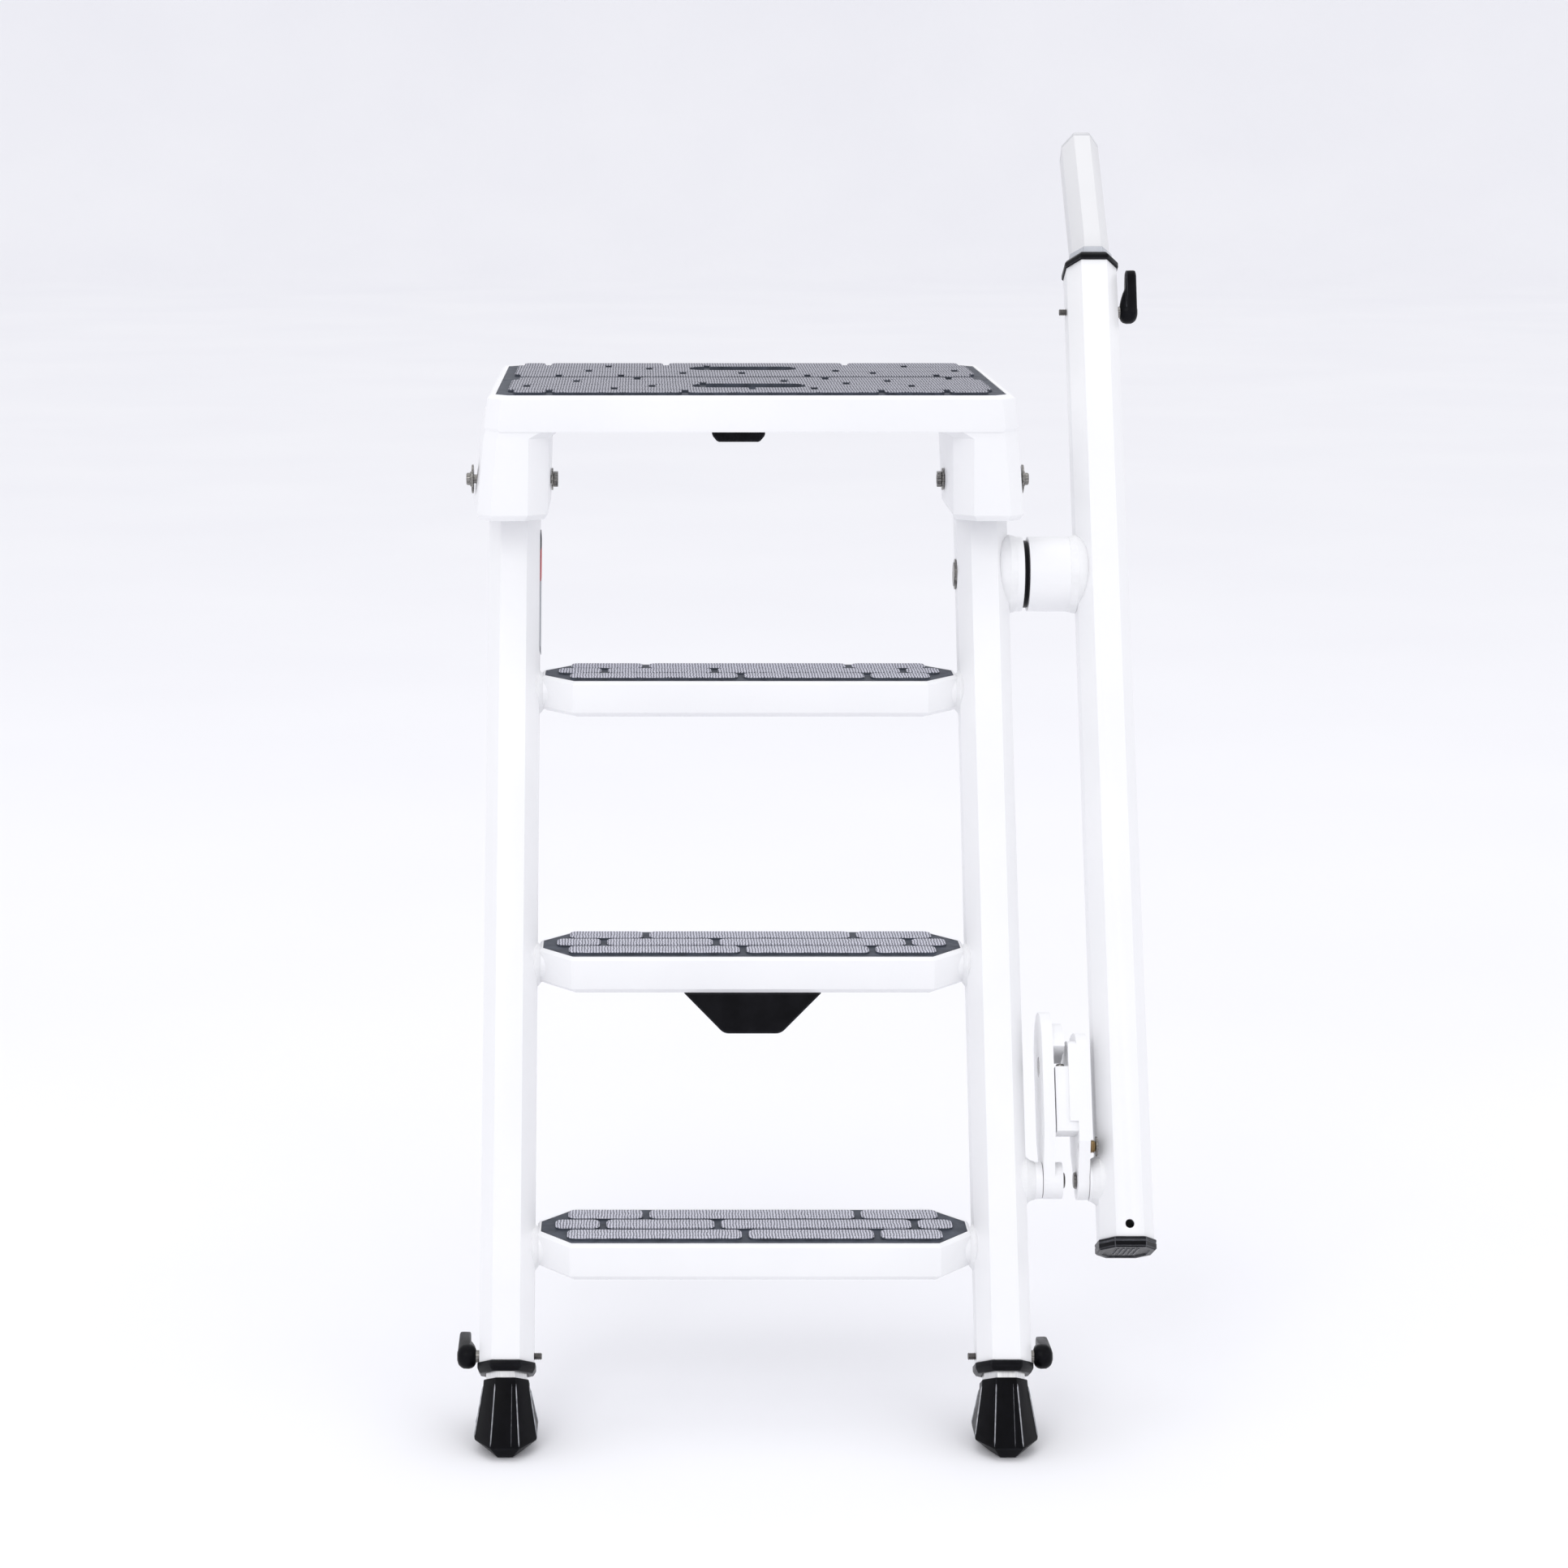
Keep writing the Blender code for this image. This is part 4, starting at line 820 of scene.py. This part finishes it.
LIP_W, LIP_D = 0.0335, 0.0520     # the upper rail's section, which the collar's wiper ring hugs
LIP_CUT_X, LIP_CUT_D = 0.0100, 0.0165
LIP_RINGS = ((0.0040, -0.0010), (0.0040, 0.0056), (0.0030, 0.0066), (0.0008, 0.0066),
             (0.0008, -0.0010))   # how much wider than the rail, how far above the collar

CAP_WIDTH, CAP_DEPTH = 0.0480, 0.0670
CAP_CUT_X, CAP_CUT_D = 0.0110, 0.0195
CAP_CUT_X_SHARE, CAP_CUT_D_SHARE = 0.6, 0.9     # how much of an inset the corner cuts follow
CAP_LEVELS = ((0.0090, 0.0004), (0.0086, 0.0), (0.0066, 0.0), (0.0061, 0.0007), (0.0056, 0.0), (0.0014, 0.0),
              (0.0, 0.0014), (0.0, 0.0050), (0.0012, 0.0056))   # height above the lower end, inset
CAP_RIBS = 5
CAP_RIB_PITCH = 0.0042
CAP_RIB_HALF = 0.0007
CAP_RIB_FROM, CAP_RIB_TO = -0.020, 0.016
CAP_RIB_TOP, CAP_RIB_BOTTOM = 0.0016, 0.0003


def boot_ribs(side):
    """Thin raised ribs along the boot's upright edges, and a finer seam between the front's two."""
    node = side + "_boot"
    source = whole_faces(node)
    slide = Vector(JOINTS[side + "_foot_slide"]["axis"])
    uprights = []
    for edge in source.edges:
        start, end = edge.verts[0].co, edge.verts[1].co
        upright = abs((end - start).normalized().dot(slide))
        if edge.calc_length() < RIB_SHORTEST or upright < RIB_UPRIGHT:
            continue
        if len(edge.link_faces) != 2 or edge.calc_face_angle(0.0) < RIB_CORNER:
            continue
        outward = sum((face.normal for face in edge.link_faces), Vector()).normalized()
        foot, top = (start, end) if start.z <= end.z else (end, start)
        uprights.append((foot, top, outward, 1.0))
    front = sorted(uprights, key=lambda rib: rib[0].y + rib[1].y)[:2]
    first, second = sorted(front, key=lambda rib: rib[0].x)
    uprights.append((first[0].lerp(second[0], SEAM_FOOT), first[1].lerp(second[1], SEAM_TOP),
                     (first[2] + second[2]).normalized(), SEAM_SCALE))
    shape = bmesh.new()
    for start, end, outward, scale in uprights:
        across = (end - start).normalized().cross(outward).normalized()
        rings = []
        for share, size in RIB_SECTIONS:
            at = start.lerp(end, share)
            rings.append([at + across * size * scale - outward * RIB_SINK, at + outward * size * scale,
                          at - across * size * scale - outward * RIB_SINK])
        add_rings(shape, rings)
    source.free()
    bmesh.ops.recalc_face_normals(shape, faces=shape.faces)
    ribs = new_object(node + "_ribs", shape)
    # the ribs' grey colour is a painted highlight
    dress(ribs, PAINTED_RIB_HIGHLIGHT)
    settle(ribs, BODY_OF[node], "boot_rubber")


def collar_lip():
    """The pale wiper ring inside the rail's upper collar."""
    top = max(leg_heights("rail_collar"))
    shape = bmesh.new()
    rings = []
    for grow, rise in LIP_RINGS:
        loop = octagon_loop(LIP_W + grow, LIP_D + grow, LIP_CUT_X, LIP_CUT_D)
        rings.append([place(RAIL_X + x, v, top + rise) for x, v in loop])
    add_rings(shape, rings, capped=False)
    bmesh.ops.recalc_face_normals(shape, faces=shape.faces)
    lip = new_object("rail_collar_lip", shape)
    dress(lip, LIP)
    settle(lip, "rail", "grey_plastic")


def end_cap():
    """The rail's lower cap: a groove round its rim, a chamfered lower edge and a dished, ribbed underside."""
    node = "rail_end_cap"
    low = min(leg_heights(node))
    shape = bmesh.new()
    rings = []
    for rise, inset in CAP_LEVELS:
        loop = octagon_loop(CAP_WIDTH - 2 * inset, CAP_DEPTH - 2 * inset,
                            CAP_CUT_X - inset * CAP_CUT_X_SHARE, CAP_CUT_D - inset * CAP_CUT_D_SHARE)
        rings.append([place(RAIL_X + x, v, low + rise) for x, v in loop])
    add_rings(shape, rings)
    for i in range(CAP_RIBS):
        x = (i - (CAP_RIBS - 1) // 2) * CAP_RIB_PITCH
        left, right = x - CAP_RIB_HALF, x + CAP_RIB_HALF
        corners = [(left, CAP_RIB_FROM), (right, CAP_RIB_FROM), (right, CAP_RIB_TO), (left, CAP_RIB_TO)]
        add_rings(shape, [[place(RAIL_X + a, v, low + rise) for a, v in corners]
                          for rise in (CAP_RIB_TOP, CAP_RIB_BOTTOM)])
    bmesh.ops.recalc_face_normals(shape, faces=shape.faces)
    cap = new_object(node + "_surface", shape)
    dress(cap, LOOKS["black_plastic"])
    settle(cap, BODY_OF[node], "black_plastic", node)


# ---------------------------------------------------------------- the pieces

# CAD nodes that keep their shape, and how wide their edges are rounded
SOFT_NODES = (
    ("left_leg", 0.0012), ("right_leg", 0.0012), ("rail_lower_tube", 0.0012), ("rail_upper_tube", 0.0010),
    ("platform_casting", 0.0016), ("tread_upper", 0.0012), ("tread_middle", 0.0012), ("tread_lower", 0.0012),
    ("tread_bumper", 0.0010), ("platform_bumper", 0.0010), ("left_leg_collar", 0.0008),
    ("right_leg_collar", 0.0008), ("rail_collar", 0.0008), ("rail_top_cap", 0.0008), ("left_boot", 0.0010),
    ("right_boot", 0.0010), ("brace_link_leg", 0.0010), ("brace_link_rail", 0.0010),
    ("left_inner_tube", 0.0008), ("right_inner_tube", 0.0008), ("leg_pivot_boss", 0.0010),
    ("rail_pivot_boss", 0.0012), ("pivot_washer", 0.0006), ("leg_brace_lug", 0.0006),
    ("rail_brace_lug", 0.0006), ("left_outer_washer", 0.0003), ("right_outer_washer", 0.0003),
    ("left_inner_washer", 0.0003), ("right_inner_washer", 0.0003), ("left_socket_nut", 0.0005),
    ("right_socket_nut", 0.0005), ("pivot_axle_washer", 0.0003), ("plunger_pin", 0.0004),
)

tread_mats()
platform_mats()
for node_name, edge_width in SOFT_NODES:
    soften(node_name, edge_width)
make_screws()
make_socket_bolts()
make_welds()
make_knob("left", -1, LEFT_X)
make_knob("right", 1, RIGHT_X)
make_knob("rail", 1, RAIL_X)
boot_ribs("left")
boot_ribs("right")
collar_lip()
end_cap()


# ---------------------------------------------------------------- studio

# Camera: where the photographer stood, from the ladder's centre plane
CAMERA_SIDE = -0.0945
CAMERA_BACK = 2.79
CAMERA_HEIGHT = 1.10
CAMERA_PITCH = math.radians(11.0)
CAMERA_LENS = 82.0
CAMERA_SENSOR = 36.0
CAMERA_SHIFT = 0.0911
CAMERA_REACH = 50.0

# A round floor that sweeps up into a wall, so every view has the same backdrop
STAGE_RADIUS = 20.0
STAGE_WALL = 4.0
STAGE_SWEEP = 2.5
STAGE_SIDES = 96
STAGE_RINGS = (0.06, 0.2, 0.5)    # the inner rings, as shares of the radius
STAGE_DROP = 0.0005               # keeps the floor just clear of the feet
SWEEP_STEPS = 12
SURROUND = 1.00
SURROUND_COLOUR = (0.968, 0.970, 1.0, 1.0)

# Soft lights: name, position, what it points at, size, power
LIGHTS = (("key", (-1.6, -3.6, 3.2), (0.0, 0.0, 0.5), 1.8, 25.0),
          ("fill", (2.8, -2.6, 2.6), (0.0, 0.0, 0.5), 2.4, 8.0),
          ("top", (0.0, 0.5, 4.2), (0.0, 0.0, 0.0), 3.0, 17.0))


def make_camera():
    """The main view, looking along +Y and a little down."""
    data = bpy.data.cameras.new("camera")
    camera = bpy.data.objects.new("camera", data)
    bpy.context.scene.collection.objects.link(camera)
    camera.location = (MIDDLE_X + CAMERA_SIDE, FLOOR_LINE_Y - CAMERA_BACK, CAMERA_HEIGHT)
    camera.rotation_euler = (math.pi / 2 - CAMERA_PITCH, 0.0, 0.0)
    data.lens = CAMERA_LENS
    data.sensor_width = CAMERA_SENSOR
    data.shift_x = CAMERA_SHIFT
    data.clip_end = CAMERA_REACH
    bpy.context.scene.camera = camera


def area_light(name, position, target, size, power):
    """A white square light that points at target."""
    data = bpy.data.lights.new(name, "AREA")
    data.shape = "RECTANGLE"
    data.size = size
    data.size_y = size
    data.energy = power
    light = bpy.data.objects.new(name, data)
    bpy.context.scene.collection.objects.link(light)
    light.location = position
    aim = Vector(target) - Vector(position)
    light.rotation_euler = aim.to_track_quat("-Z", "Y").to_euler()


def stage_shape():
    """The floor and wall as one surface turned about Z."""
    profile = [(STAGE_RADIUS * share, 0.0) for share in STAGE_RINGS] + [(STAGE_RADIUS - STAGE_SWEEP, 0.0)]
    for i in range(1, SWEEP_STEPS + 1):
        a = math.pi / 2 * i / SWEEP_STEPS
        profile.append((STAGE_RADIUS - STAGE_SWEEP * (1 - math.sin(a)), STAGE_SWEEP * (1 - math.cos(a))))
    profile.append((STAGE_RADIUS, STAGE_WALL))
    shape = bmesh.new()
    turns = [2 * math.pi * i / STAGE_SIDES for i in range(STAGE_SIDES)]
    rows = [[shape.verts.new((radius * math.cos(turn), radius * math.sin(turn), z)) for turn in turns]
            for radius, z in profile]
    shape.faces.new(rows[0])
    for near, far in zip(rows, rows[1:]):
        for i in range(STAGE_SIDES):
            j = (i + 1) % STAGE_SIDES
            shape.faces.new((near[i], far[i], far[j], near[j]))
    return shape


def studio_paper():
    """Matt white paper with a faint blue tint."""
    g = Graph("studio_paper")
    g.colour(g.ramp(g.noise(1.2, 2.0), [(0.3, (0.905, 0.905, 0.930)), (0.7, (0.925, 0.925, 0.945))]))
    g.set(Roughness=0.9, Specular_IOR_Level=0.1)
    return g.material


def make_studio():
    """A round pale floor that curves up into a wall, a bright even surround and three soft lights."""
    floor = new_object("studio_floor", stage_shape())
    floor.location.z = -STAGE_DROP
    floor.data.shade_smooth()
    dress(floor, studio_paper())
    world = bpy.data.worlds.new("studio_world")
    bpy.context.scene.world = world
    world.use_nodes = True
    background = world.node_tree.nodes["Background"]
    background.inputs["Color"].default_value = SURROUND_COLOUR
    background.inputs["Strength"].default_value = SURROUND
    for light in LIGHTS:
        area_light(*light)


make_camera()
make_studio()
bpy.context.scene.view_settings.view_transform = "Standard"
